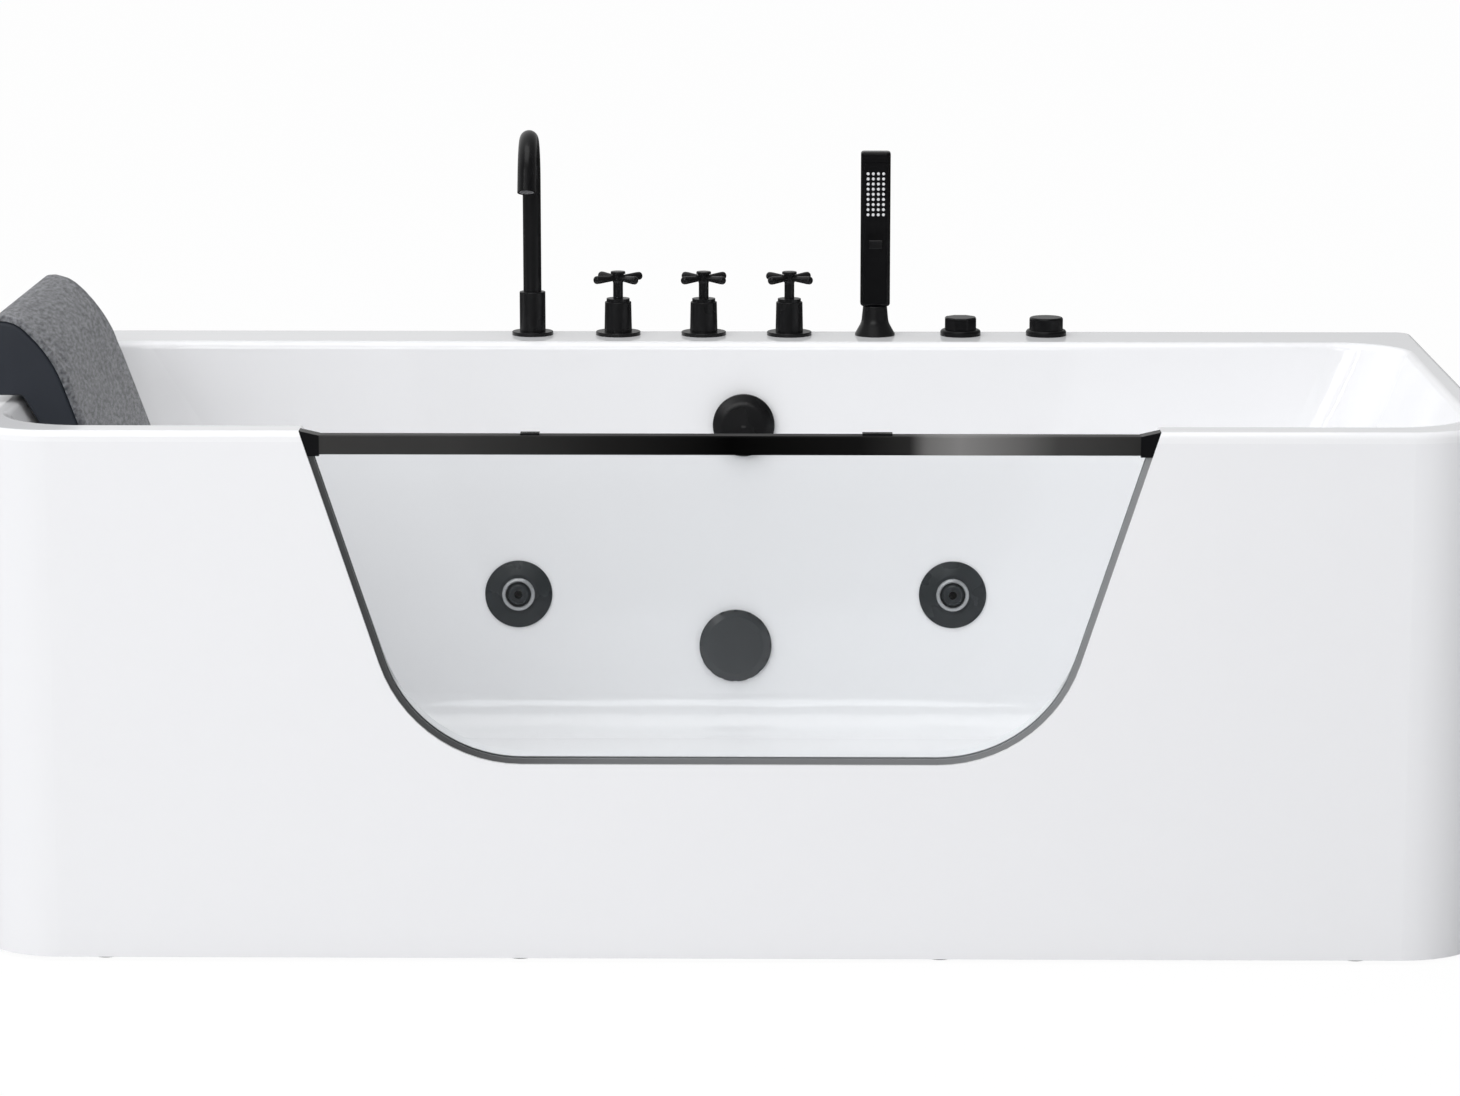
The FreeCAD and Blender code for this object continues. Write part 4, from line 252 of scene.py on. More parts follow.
def make_tone_drift():
    """Two tones mixed by noise. Detail adds finer noise, and Contrast parts the tones."""
    group, source, result = new_group("tone_drift", [
        ("Tone A", "NodeSocketColor", (0.8, 0.8, 0.8, 1)),
        ("Tone B", "NodeSocketColor", (0.7, 0.7, 0.7, 1)),
        ("Scale", "NodeSocketFloat", 8.0), ("Detail", "NodeSocketFloat", 3.0),
        ("Contrast", "NodeSocketFloat", 1.0), ("Stretch", "NodeSocketVector", (1, 1, 1))],
        [("Color", "NodeSocketColor"), ("Mask", "NodeSocketFloat")])
    nodes, links = group.nodes, group.links
    noise = nodes.new("ShaderNodeTexNoise")
    links.new(stretched_place(group, source), noise.inputs["Vector"])
    links.new(source.outputs["Scale"], noise.inputs["Scale"])
    links.new(source.outputs["Detail"], noise.inputs["Detail"])
    spread = nodes.new("ShaderNodeMath")
    spread.operation = "MULTIPLY_ADD"
    centred = nodes.new("ShaderNodeMath")
    centred.operation = "SUBTRACT"
    centred.inputs[1].default_value = MIDDLE
    links.new(noise.outputs["Fac"], centred.inputs[0])
    links.new(centred.outputs[0], spread.inputs[0])
    links.new(source.outputs["Contrast"], spread.inputs[1])
    spread.inputs[2].default_value = MIDDLE
    spread.use_clamp = True
    mix = nodes.new("ShaderNodeMix")
    mix.data_type = "RGBA"
    links.new(spread.outputs[0], mix.inputs["Factor"])
    links.new(source.outputs["Tone A"], mix.inputs[MIX_COLOR_A])
    links.new(source.outputs["Tone B"], mix.inputs[MIX_COLOR_B])
    links.new(mix.outputs[MIX_COLOR_RESULT], result.inputs["Color"])
    links.new(spread.outputs[0], result.inputs["Mask"])
    return group


def make_fine_grain():
    """A height made of small noise, for sprayed, moulded and drawn surfaces."""
    group, source, result = new_group("fine_grain", [
        ("Scale", "NodeSocketFloat", 400.0), ("Stretch", "NodeSocketVector", (1, 1, 1))],
        [("Height", "NodeSocketFloat")])
    nodes, links = group.nodes, group.links
    noise = nodes.new("ShaderNodeTexNoise")
    noise.inputs["Detail"].default_value = 4
    links.new(stretched_place(group, source), noise.inputs["Vector"])
    links.new(source.outputs["Scale"], noise.inputs["Scale"])
    links.new(noise.outputs["Fac"], result.inputs["Height"])
    return group


TONE_DRIFT = make_tone_drift()
FINE_GRAIN = make_fine_grain()
print("groups:", TONE_DRIFT.name, FINE_GRAIN.name)

# %% [markdown]
# ## A finish from its numbers
# Most finishes need the same wiring: drifting tone into colour, the same mask into roughness,
# and a grain into bump. One function wires them; each finish keeps its own values.

# %% Finish builder


def add_group(tree, group, **values):
    """Places a group in a material; an underscore in a name stands for a space."""
    box = tree.nodes.new("ShaderNodeGroup")
    box.node_tree = group
    for label, number in values.items():
        box.inputs[label.replace("_", " ")].default_value = number
    return box


def finish(name, tones, drift=(6, 3, 1), rough=(0.3, 0.4), grain=(400, 0.02), depth=0.0005,
           stretch=(1, 1, 1), tone_stretch=(1, 1, 1), **sockets):
    """A surface with two tones, a roughness range and a grain bump.

    Drift is (scale, detail, contrast) and grain is (scale, strength); depth is in metres.
    """
    material = bpy.data.materials.new(name)
    material.use_nodes = True
    tree = material.node_tree
    shader = tree.nodes["Principled BSDF"]
    colour = add_group(tree, TONE_DRIFT, Tone_A=(*tones[0], 1), Tone_B=(*tones[1], 1),
                       Scale=drift[0], Detail=drift[1], Contrast=drift[2],
                       Stretch=tone_stretch)
    tree.links.new(colour.outputs["Color"], shader.inputs["Base Color"])
    gloss = tree.nodes.new("ShaderNodeMapRange")
    gloss.inputs["To Min"].default_value, gloss.inputs["To Max"].default_value = rough
    tree.links.new(colour.outputs["Mask"], gloss.inputs["Value"])
    tree.links.new(gloss.outputs[0], shader.inputs["Roughness"])
    texture = add_group(tree, FINE_GRAIN, Scale=grain[0], Stretch=stretch)
    bump = tree.nodes.new("ShaderNodeBump")
    bump.inputs["Strength"].default_value = grain[1]
    bump.inputs["Distance"].default_value = depth
    tree.links.new(texture.outputs["Height"], bump.inputs["Height"])
    tree.links.new(bump.outputs["Normal"], shader.inputs["Normal"])
    for socket, number in sockets.items():
        shader.inputs[socket.replace("_", " ")].default_value = number
    return material


def dress(material, *nodes):
    """Gives CAD nodes their finish."""
    for node in nodes:
        for slot in NODES[node].material_slots:
            slot.material = material
    print(material.name, "on", ", ".join(nodes))


# %% [markdown]
# ## White acrylic
# The shell is vacuum-formed acrylic: very glossy, with a long, faint waviness that shows only
# in reflections. A large-scale noise with almost no height gives that; colour hardly drifts.

# %% Acrylic
# The shell is painted a little lighter than the apron: painted light that brightens the inside of
# the basin.
acrylic = finish("gloss_acrylic_painted_light", ((0.90, 0.90, 0.91), (0.885, 0.885, 0.895)), drift=(1.5, 2, 1),
                 rough=(0.06, 0.09), grain=(9, 0.10), depth=0.002, IOR=1.49)
apron_acrylic = finish("apron_acrylic", ((0.865, 0.865, 0.875), (0.85, 0.85, 0.865)),
                       drift=(1.2, 2, 1), rough=(0.14, 0.22), grain=(7, 0.10), depth=0.002,
                       IOR=1.49)
dress(acrylic, "tub_shell")
dress(apron_acrylic, "apron_skirt")

# %% [markdown]
# ## Black fittings
# The taps are brass with a fine satin-black paint, which has a tiny orange-peel grain. The
# hand shower and the two controls are black plastic, each with its own gloss.

# %% Black paint and plastic
black_paint = finish("satin_black_paint", ((0.006, 0.006, 0.0065), (0.011, 0.011, 0.0115)),
                     drift=(14, 3, 1.4), rough=(0.24, 0.32), grain=(900, 0.08), depth=0.0002,
                     Specular_IOR_Level=0.22)
dress(black_paint, "spout", "spout_base", "hot_escutcheon", "diverter_escutcheon",
      "cold_escutcheon", "hot_handle", "diverter_handle", "cold_handle", "shower_holder",
      "overflow_knob", "drain_flange", "drain_plug")
handset_plastic = finish("satin_black_handset", ((0.004, 0.004, 0.0045), (0.007, 0.007, 0.0075)),
                         drift=(20, 2, 1), rough=(0.20, 0.28), grain=(700, 0.05), depth=0.0002,
                         Specular_IOR_Level=0.16)
dress(handset_plastic, "hand_shower", "hand_shower_cap")
selector_plastic = finish("glossy_selector", ((0.006, 0.006, 0.0065), (0.010, 0.010, 0.0105)),
                          drift=(30, 2, 1), rough=(0.10, 0.16), grain=(700, 0.04), depth=0.0002)
dress(selector_plastic, "spray_selector")
control_plastic = finish("satin_black_control", ((0.005, 0.005, 0.0055), (0.009, 0.009, 0.0095)),
                         drift=(20, 2, 1), rough=(0.22, 0.30), grain=(700, 0.08), depth=0.0002,
                         Specular_IOR_Level=0.14)
dress(control_plastic, "air_valve", "air_knob", "button_housing", "pump_button")

# %% [markdown]
# ### Rail and brackets
# The rail is nearly black. In the photograph it mirrors something light on the right, which
# is not in this studio, so tones along its length, tuned by measure, stand for it.

# %% Rail
RAIL_SPAN = (-0.45, 0.45)
RAIL_TONES = [(0.0, 0.040), (0.16, 0.036), (0.34, 0.012), (0.50, 0.0005), (0.66, 0.006),
              (0.72, 0.02), (0.74, 0.14), (0.78, 0.20), (0.85, 0.12), (0.90, 0.05), (1.0, 0.026)]


def tone_along(material, span, stops, warmth):
    """Colours a material by stops along a span of X, as places from 0 to 1 with a tone each."""
    tree = material.node_tree
    place = tree.nodes.new("ShaderNodeTexCoord")
    axes = tree.nodes.new("ShaderNodeSeparateXYZ")
    tree.links.new(place.outputs["Object"], axes.inputs[0])
    along = tree.nodes.new("ShaderNodeMapRange")
    along.inputs["From Min"].default_value, along.inputs["From Max"].default_value = span
    tree.links.new(axes.outputs["X"], along.inputs["Value"])
    zones = tree.nodes.new("ShaderNodeValToRGB")
    marks = zones.color_ramp.elements
    for spot, _ in stops[1:-1]:
        marks.new(spot)
    for mark, (spot, tone) in zip(marks, stops):
        mark.position = spot
        mark.color = (tone * warmth, tone, tone / warmth, 1)
    tree.links.new(along.outputs[0], zones.inputs[0])
    tree.links.new(zones.outputs["Color"], tree.nodes["Principled BSDF"].inputs["Base Color"])


rail_black = finish("anodised_black_rail", ((0.004, 0.004, 0.004), (0.006, 0.006, 0.006)),
                    drift=(3, 2, 1), rough=(0.30, 0.42), grain=(120, 0.05), depth=0.0003,
                    stretch=(0.03, 1, 1), Specular_IOR_Level=0.06)
tone_along(rail_black, RAIL_SPAN, RAIL_TONES, warmth=1.02)
dress(rail_black, "glass_rail")
bracket_black = finish("bracket_black", ((0.004, 0.004, 0.005), (0.008, 0.008, 0.009)),
                       rough=(0.22, 0.30), grain=(600, 0.03), Specular_IOR_Level=0.2)
dress(bracket_black, "left_rail_bracket", "right_rail_bracket", "rail_clips")

# %% [markdown]
# ### Jets, suction cover, spray plate
# The jets are moulded in slate-coloured plastic round a polished ring, whose light grey is
# partly its own colour and partly a painted highlight, and the suction cover is a shade
# lighter. The spray nozzles are soft and nearly white.

# %% Jets and small plastics
slate_plastic = finish("slate_plastic", ((0.016, 0.019, 0.021), (0.024, 0.028, 0.031)),
                       drift=(18, 3, 1.2), rough=(0.22, 0.32), grain=(600, 0.05), depth=0.0002,
                       Specular_IOR_Level=0.35)
dress(slate_plastic, "left_jet_flange", "right_jet_flange", "left_jet_nozzle",
      "right_jet_nozzle")
cover_plastic = finish("cover_plastic", ((0.040, 0.043, 0.046), (0.050, 0.054, 0.057)),
                       drift=(12, 3, 1.2), rough=(0.18, 0.26), grain=(600, 0.04), depth=0.0002)
dress(cover_plastic, "suction_cover")
# The ring's light grey is partly its own colour and partly a painted highlight for its glints.
jet_ring_grey_and_glint = finish("polished_ring_grey_and_painted_glint", ((0.34, 0.35, 0.36), (0.46, 0.47, 0.48)),
                       drift=(25, 2, 1), rough=(0.16, 0.24), grain=(600, 0.04), depth=0.0002,
                       Metallic=0.3)
dress(jet_ring_grey_and_glint, "left_jet_ring", "right_jet_ring")
nozzle_grey = finish("soft_nozzle_grey", ((0.70, 0.70, 0.71), (0.80, 0.80, 0.81)),
                     drift=(60, 2, 1), rough=(0.45, 0.55), grain=(900, 0.05), depth=0.0002)
dress(nozzle_grey, "spray_nozzles")
aerator_grey = finish("aerator_grey", ((0.30, 0.30, 0.31), (0.38, 0.38, 0.39)),
                      drift=(60, 2, 1), rough=(0.3, 0.4), grain=(900, 0.05), depth=0.0002,
                      Metallic=0.5)
dress(aerator_grey, "spout_aerator")

# %% [markdown]
# ## Glass and its seal
# The pane is clear glass, a little blue-green in the thickness. Only what the camera sees is
# bent by it: light for shadows, and rays that leave a matte or a mirroring surface, go
# straight through, because a renderer would otherwise leave dark noise behind the pane. The
# seal is a dull rubber channel whose tone runs lighter toward the right, which is painted
# light and shade, and the cups are milky.

# %% Glass and rubber
GLASS_INDEX = 1.5


def make_glass():
    """Clear glass that bends what the camera sees and lets all other light pass."""
    material = bpy.data.materials.new("clear_pane")
    material.use_nodes = True
    tree = material.node_tree
    shader = tree.nodes["Principled BSDF"]
    shader.inputs["Transmission Weight"].default_value = 1
    shader.inputs["IOR"].default_value = GLASS_INDEX
    tint = add_group(tree, TONE_DRIFT, Tone_A=(0.978, 0.988, 0.992, 1),
                     Tone_B=(0.972, 0.984, 0.989, 1), Scale=2.0, Detail=1.0, Contrast=1.0)
    tree.links.new(tint.outputs["Color"], shader.inputs["Base Color"])
    shader.inputs["Roughness"].default_value = 0.0
    path = tree.nodes.new("ShaderNodeLightPath")
    reflected = tree.nodes.new("ShaderNodeMath")
    reflected.operation = "SUBTRACT"
    tree.links.new(path.outputs["Is Glossy Ray"], reflected.inputs[0])
    tree.links.new(path.outputs["Is Transmission Ray"], reflected.inputs[1])
    passing = largest(tree, path.outputs["Is Shadow Ray"], path.outputs["Is Diffuse Ray"],
                      reflected.outputs[0])
    clear = tree.nodes.new("ShaderNodeBsdfTransparent")
    clear.inputs["Color"].default_value = (0.97, 0.985, 0.99, 1)
    mix = tree.nodes.new("ShaderNodeMixShader")
    tree.links.new(passing, mix.inputs[0])
    tree.links.new(shader.outputs[0], mix.inputs[1])
    tree.links.new(clear.outputs[0], mix.inputs[2])
    tree.links.new(mix.outputs[0], tree.nodes["Material Output"].inputs["Surface"])
    return material


dress(make_glass(), "window_glass")
SEAL_SPAN = (-0.46, 0.46)
# The seal's tones along X are painted light and shade: dark on the left, lighter to the right.
SEAL_PAINTED_SHADING_TONES = [(0.0, 0.055), (0.18, 0.07), (0.35, 0.17), (0.75, 0.20), (1.0, 0.26)]
seal_rubber = finish("grey_seal_rubber", ((0.085, 0.089, 0.093), (0.24, 0.245, 0.255)),
                     drift=(1, 2, 2.4), rough=(0.35, 0.5), grain=(500, 0.08))
tone_along(seal_rubber, SEAL_SPAN, SEAL_PAINTED_SHADING_TONES, warmth=0.98)
dress(seal_rubber, "window_seal")
cup_rubber = finish("clear_cup_rubber", ((0.55, 0.56, 0.57), (0.63, 0.64, 0.65)),
                    rough=(0.25, 0.35), grain=(300, 0.04), Transmission_Weight=0.4)
dress(cup_rubber, "pillow_cups")

# %% [markdown]
# ## Behind the apron
# Pipes are white pressure plastic, valves are cast brass, the frame is zinc-coated steel and
# the board is raw plywood. They are seen only from the wall side and from below, but a tub
# that is opened for service shows them all.

# %% Pipes and valves
pipe_white = finish("pressure_pipe_white", ((0.70, 0.70, 0.69), (0.62, 0.62, 0.61)),
                    drift=(7, 4, 1.4), rough=(0.34, 0.46), grain=(260, 0.06))
dress(pipe_white, "overflow_body", "overflow_pipe", "drain_body", "suction_body",
      "suction_pipe", "left_jet_body", "right_jet_body", "water_manifold")
hose_grey = finish("air_line_grey", ((0.42, 0.45, 0.46), (0.50, 0.53, 0.54)),
                   drift=(9, 3, 1.3), rough=(0.3, 0.4), grain=(300, 0.05))
dress(hose_grey, "air_pipe")
cast_brass = finish("cast_brass", ((0.52, 0.36, 0.13), (0.62, 0.46, 0.20)), drift=(40, 5, 1.6),
                    rough=(0.28, 0.42), grain=(450, 0.2), Metallic=1.0)
dress(cast_brass, "hot_valve", "diverter_valve", "cold_valve", "deck_nuts")
copper = finish("drawn_copper", ((0.68, 0.34, 0.20), (0.56, 0.27, 0.16)), drift=(16, 4, 1.4),
                rough=(0.22, 0.36), grain=(300, 0.08), Metallic=1.0)
dress(copper, "feed_pipes")

# %% Pump, frame and board
pump_black = finish("pump_black", ((0.020, 0.020, 0.022), (0.030, 0.030, 0.032)),
                    drift=(15, 3, 1.3), rough=(0.38, 0.5), grain=(500, 0.12))
dress(pump_black, "pump_wet_end")
motor_paint = finish("motor_grey_paint", ((0.115, 0.125, 0.135), (0.15, 0.16, 0.17)),
                     drift=(12, 4, 1.4), rough=(0.35, 0.48), grain=(400, 0.15))
dress(motor_paint, "pump_motor")
box_grey = finish("control_box_grey", ((0.52, 0.53, 0.53), (0.58, 0.59, 0.59)),
                  rough=(0.4, 0.5), grain=(700, 0.15), depth=0.0002)
dress(box_grey, "control_box")
zinc = finish("zinc_coated_steel", ((0.42, 0.43, 0.44), (0.56, 0.57, 0.58)), drift=(30, 5, 2.2),
              rough=(0.34, 0.5), grain=(350, 0.1), Metallic=0.85)
dress(zinc, "base_frame", "deck_posts")
foot_black = finish("foot_black", ((0.018, 0.018, 0.019), (0.028, 0.028, 0.029)),
                    rough=(0.45, 0.55), grain=(500, 0.1))
dress(foot_black, "levelling_feet")


def make_plywood():
    """Long grain: noise stretched along the board, with darker streaks."""
    return finish("raw_plywood", ((0.46, 0.32, 0.18), (0.60, 0.45, 0.28)), drift=(3, 6, 2.4),
                  rough=(0.6, 0.75), grain=(60, 0.3), depth=0.001, stretch=(1, 14, 14),
                  tone_stretch=(1, 16, 16))


dress(make_plywood(), "base_board")
print(len(bpy.data.materials), "materials so far")

# %% [markdown]
# ## The pillow
# The pillow is a moulded foam block whose side is smooth and nearly black, under a grey suede
# cover that runs over its crown and down its front. Both have the same side view: a flat top,
# a tight crown, a long brow and a straight front, drawn as straight runs with an arc at each
# corner. The foam's own side view runs one pad's thickness further in and is closed.

# %% The pillow's side view
HALF_WIDTH = 0.200
PAD = 0.007
BACK_X, TOP_Z = -0.840, 0.6995
CROWN, BROW, FOOT = (-0.811, 0.6995), (-0.76653, 0.65503), (-0.69918, 0.470)
CROWN_RADIUS, BROW_RADIUS = 0.045, 0.160


def rounded_path(corners, steps):
    """Straight runs with an arc at each corner that has a radius."""
    path = []
    for index, (x, z, radius) in enumerate(corners):
        here = Vector((x, z))
        if not radius:
            path.append(here)
            continue
        before = Vector(corners[index - 1][:2])
        after = Vector(corners[(index + 1) % len(corners)][:2])
        back, ahead = (before - here).normalized(), (after - here).normalized()
        half = back.angle(ahead) / 2
        centre = here + (back + ahead).normalized() * (radius / math.sin(half))
        enter = here + back * (radius / math.tan(half)) - centre
        sweep = math.pi - 2 * half
        side = 1 if back.x * ahead.y - back.y * ahead.x < 0 else -1
        for step in range(steps + 1):
            angle = side * sweep * step / steps
            turn = Matrix.Rotation(angle, 2)
            path.append(centre + turn @ enter)
    return path


def evenly(path, count):
    """The same path as evenly spaced points."""
    lengths = [0]
    for a, b in zip(path, path[1:]):
        lengths.append(lengths[-1] + (b - a).length)
    points = []
    spot = 0
    for step in range(count):
        goal = lengths[-1] * step / (count - 1)
        while spot < len(path) - 2 and lengths[spot + 1] < goal:
            spot += 1
        span = lengths[spot + 1] - lengths[spot]
        points.append(path[spot].lerp(path[spot + 1], (goal - lengths[spot]) / span if span else 0))
    return points


OVER = rounded_path([(BACK_X, TOP_Z, 0), (*CROWN, CROWN_RADIUS), (*BROW, BROW_RADIUS),
                     (*FOOT, 0)], 16)
print("side view has", len(OVER), "points")

# %% [markdown]
# ### Suede cover
# The cover is a thin padded slab. It starts as a grid along the side view, a little thinner
# than it will be; its inner face is pinned and cloth pressure swells the outer face, which
# gives it the slight unevenness of a filled cover. A move is capped so that it stays in place.

# %% Cover by cloth simulation
COVER_ALONG, COVER_ACROSS = 70, 90
FOAM_GAP, SWELL_ROOM = 0.0003, 0.0012
EDGE_SHARE, EDGE_ROWS = 0.45, 3


def normals_of(path):
    """Unit normals of a path, pointing out of the pillow."""
    result = []
    for index in range(len(path)):
        a = path[max(index - 1, 0)]
        b = path[min(index + 1, len(path) - 1)]
        along = (b - a).normalized()
        result.append(Vector((-along.y, along.x)))
    return result


def slab(name, path, low, high, half_width, rows):
    """A closed slab over a path: an inner and an outer skin, thinner toward the edges."""
    mesh = bpy.data.meshes.new(name)
    box = bmesh.new()
    out = normals_of(path)
    columns = len(path)

    def lay(depth_of):
        return [[box.verts.new((path[c].x + out[c].x * depth_of(r, c), y_of(r),
                                path[c].y + out[c].y * depth_of(r, c)))
                 for c in range(columns)] for r in range(rows)]

    def y_of(row):
        return -half_width + 2 * half_width * row / (rows - 1)

    def swell(row, column):
        edge = min(row, rows - 1 - row, column, columns - 1 - column)
        full = EDGE_SHARE + (1 - EDGE_SHARE) * min(edge, EDGE_ROWS) / EDGE_ROWS
        return low + (high - low) * min(1, full)

    inner = lay(lambda r, c: low)
    outer = lay(swell)
    for r in range(rows - 1):
        for c in range(columns - 1):
            box.faces.new((inner[r][c], inner[r][c + 1], inner[r + 1][c + 1], inner[r + 1][c]))
            box.faces.new((outer[r][c], outer[r + 1][c], outer[r + 1][c + 1], outer[r][c + 1]))
    for c in range(columns - 1):
        box.faces.new((inner[0][c], outer[0][c], outer[0][c + 1], inner[0][c + 1]))
        box.faces.new((inner[-1][c], inner[-1][c + 1], outer[-1][c + 1], outer[-1][c]))
    for r in range(rows - 1):
        box.faces.new((inner[r][0], inner[r + 1][0], outer[r + 1][0], outer[r][0]))
        box.faces.new((inner[r][-1], outer[r][-1], outer[r + 1][-1], inner[r + 1][-1]))
    bmesh.ops.recalc_face_normals(box, faces=box.faces)
    box.to_mesh(mesh)
    box.free()
    piece = bpy.data.objects.new(name, mesh)
    bpy.context.scene.collection.objects.link(piece)
    pinned = piece.vertex_groups.new(name="pinned")
    pinned.add(range(rows * columns), 1.0, "REPLACE")
    return piece


def swell_cloth(piece, pressure, frames, cap):
    """Swells a piece by cloth pressure and keeps each point within a cap of its start."""
    start = [vertex.co.copy() for vertex in piece.data.vertices]
    modifier = piece.modifiers.new("swell", "CLOTH")
    settings = modifier.settings
    settings.use_pressure = True
    settings.uniform_pressure_force = pressure
    settings.effector_weights.gravity = 0
    settings.vertex_group_mass = "pinned"
    settings.quality = 5
    scene = bpy.context.scene
    modifier.point_cache.frame_end = frames
    for step in range(1, frames + 1):
        scene.frame_set(step)
    graph = bpy.context.evaluated_depsgraph_get()
    settled = [vertex.co.copy() for vertex in piece.evaluated_get(graph).data.vertices]
    piece.modifiers.remove(modifier)
    scene.frame_set(1)
    moved = 0
    for vertex, before, after in zip(piece.data.vertices, start, settled):
        shift = after - before
        if shift.length > cap:
            shift *= cap / shift.length
        moved = max(moved, shift.length)
        vertex.co = before + shift
    print(piece.name, "swelled by", round(moved * 1000, 2), "mm")


def smooth(piece, levels=0):
    """Shades a piece smooth and, with levels, rounds it by subdivision."""
    for face in piece.data.polygons:
        face.use_smooth = True
    if levels:
        soften = piece.modifiers.new("soften", "SUBSURF")
        soften.levels = soften.render_levels = levels


cover = slab("pillow_suede_cover", evenly(OVER, COVER_ALONG), -PAD + FOAM_GAP, -SWELL_ROOM,
             HALF_WIDTH, COVER_ACROSS)
swell_cloth(cover, pressure=2.5, frames=14, cap=SWELL_ROOM)
smooth(cover, 1)

# %% [markdown]
# ### Suede
# Suede has a short nap that catches the light in patches where it was brushed. Noise that is
# drawn out across the pillow mottles the tone, a sheen lifts the edges, and a fine bump stands
# for the nap.

# %% Suede
suede = finish("grey_suede", ((0.060, 0.062, 0.070), (0.230, 0.235, 0.250)), drift=(230, 3, 3.0),
               rough=(0.8, 0.95), grain=(1400, 0.5), depth=0.0006, tone_stretch=(1, 0.3, 1),
               Sheen_Weight=0.3, Sheen_Roughness=0.4, Specular_IOR_Level=0.2)
cover.data.materials.append(suede)
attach(cover, "tub")
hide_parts("pillow_pad")
print(cover.name, len(cover.data.polygons), "faces before it is rounded")

# %% [markdown]
# ### Foam block
# The block is the closed side view, drawn across the tub, with its two rims rounded over.

# %% Foam block
FOAM_BEVEL = 0.004


def extrude_side(name, outline, half_width, bevel):
    """A block from a closed side view, with rounded ends."""
    mesh = bpy.data.meshes.new(name)
    block = bmesh.new()
    near = [block.verts.new((p.x, -half_width, p.y)) for p in outline]
    far = [block.verts.new((p.x, half_width, p.y)) for p in outline]
    count = len(outline)
    for index in range(count):
        following = (index + 1) % count
        block.faces.new((near[index], near[following], far[following], far[index]))
    ends = [block.faces.new(near), block.faces.new(far)]
    rim = [edge for end in ends for edge in end.edges]
    bmesh.ops.recalc_face_normals(block, faces=block.faces)
    bmesh.ops.bevel(block, geom=rim, offset=bevel, segments=4, affect="EDGES", profile=0.5)
    block.to_mesh(mesh)
    block.free()
    piece = bpy.data.objects.new(name, mesh)
    bpy.context.scene.collection.objects.link(piece)
    return piece


FOAM = rounded_path([
    (-0.840, 0.608, 0.008), (-0.80738, 0.608, 0.008), (-0.72771, 0.470, 0.008),
    (-0.70663, 0.470, 0), (-0.77219, 0.65031, 0.153), (-0.8139, 0.6925, 0.038),
    (-0.840, 0.6925, 0)], 12)
foam = extrude_side("pillow_foam_block", FOAM, HALF_WIDTH, FOAM_BEVEL)
smooth(foam)
foam.data.materials.append(finish(
    "foam_skin_black", ((0.020, 0.024, 0.032), (0.028, 0.032, 0.042)), drift=(10, 3, 1.4),
    rough=(0.42, 0.52), grain=(500, 0.15), Specular_IOR_Level=0.25))
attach(foam, "tub")
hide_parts("pillow_core")
print(foam.name, len(foam.data.polygons), "faces")

# %% [markdown]
# ## Threads, bolts and screws
# Screw threads and bolt heads repeat one small shape at many places, which is what Geometry
# Nodes are for. One tree winds a thread and sets it on every point it is given; the other sets
# a head there. Each tree takes its sizes as named inputs and ends as plain mesh.

# %% Node trees for threads and heads
STEPS_PER_TURN, RIDGE_SIDES = 18, 3


def new_tree(name, inputs):
    """A geometry tree with an Input and an Output for geometry and named inputs."""
    tree = bpy.data.node_groups.new(name, "GeometryNodeTree")
    tree.interface.new_socket("Points", in_out="INPUT", socket_type="NodeSocketGeometry")
    tree.interface.new_socket("Mesh", in_out="OUTPUT", socket_type="NodeSocketGeometry")
    for label, kind in inputs:
        tree.interface.new_socket(label, in_out="INPUT", socket_type=kind)
    return tree, tree.nodes.new("NodeGroupInput"), tree.nodes.new("NodeGroupOutput")


def set_on_points(tree, source, result, shape):
    """Puts a shape on each point, makes it real and gives it the material."""
    spread = tree.nodes.new("GeometryNodeInstanceOnPoints")
    real = tree.nodes.new("GeometryNodeRealizeInstances")
    coat = tree.nodes.new("GeometryNodeSetMaterial")
    tree.links.new(source.outputs["Points"], spread.inputs["Points"])
    tree.links.new(shape, spread.inputs["Instance"])
    tree.links.new(spread.outputs["Instances"], real.inputs["Geometry"])
    tree.links.new(real.outputs["Geometry"], coat.inputs["Geometry"])
    tree.links.new(source.outputs["Material"], coat.inputs["Material"])
    tree.links.new(coat.outputs["Geometry"], result.inputs["Mesh"])


def make_thread_tree():
    """A three-sided ridge wound round the Z axis from each point upward."""
    tree, source, result = new_tree("wound_thread", [
        ("Radius", "NodeSocketFloat"), ("Height", "NodeSocketFloat"),
        ("Turns", "NodeSocketFloat"), ("Tooth", "NodeSocketFloat"),
        ("Material", "NodeSocketMaterial")])
    path = tree.nodes.new("GeometryNodeCurveSpiral")
    path.inputs["Resolution"].default_value = STEPS_PER_TURN
    tree.links.new(source.outputs["Turns"], path.inputs["Rotations"])
    tree.links.new(source.outputs["Radius"], path.inputs["Start Radius"])
    tree.links.new(source.outputs["Radius"], path.inputs["End Radius"])
    tree.links.new(source.outputs["Height"], path.inputs["Height"])
    ridge = tree.nodes.new("GeometryNodeCurvePrimitiveCircle")
    ridge.inputs["Resolution"].default_value = RIDGE_SIDES
    tree.links.new(source.outputs["Tooth"], ridge.inputs["Radius"])
    sweep = tree.nodes.new("GeometryNodeCurveToMesh")
    sweep.inputs["Fill Caps"].default_value = True
    tree.links.new(path.outputs["Curve"], sweep.inputs["Curve"])
    tree.links.new(ridge.outputs["Curve"], sweep.inputs["Profile Curve"])
    set_on_points(tree, source, result, sweep.outputs["Mesh"])
    return tree


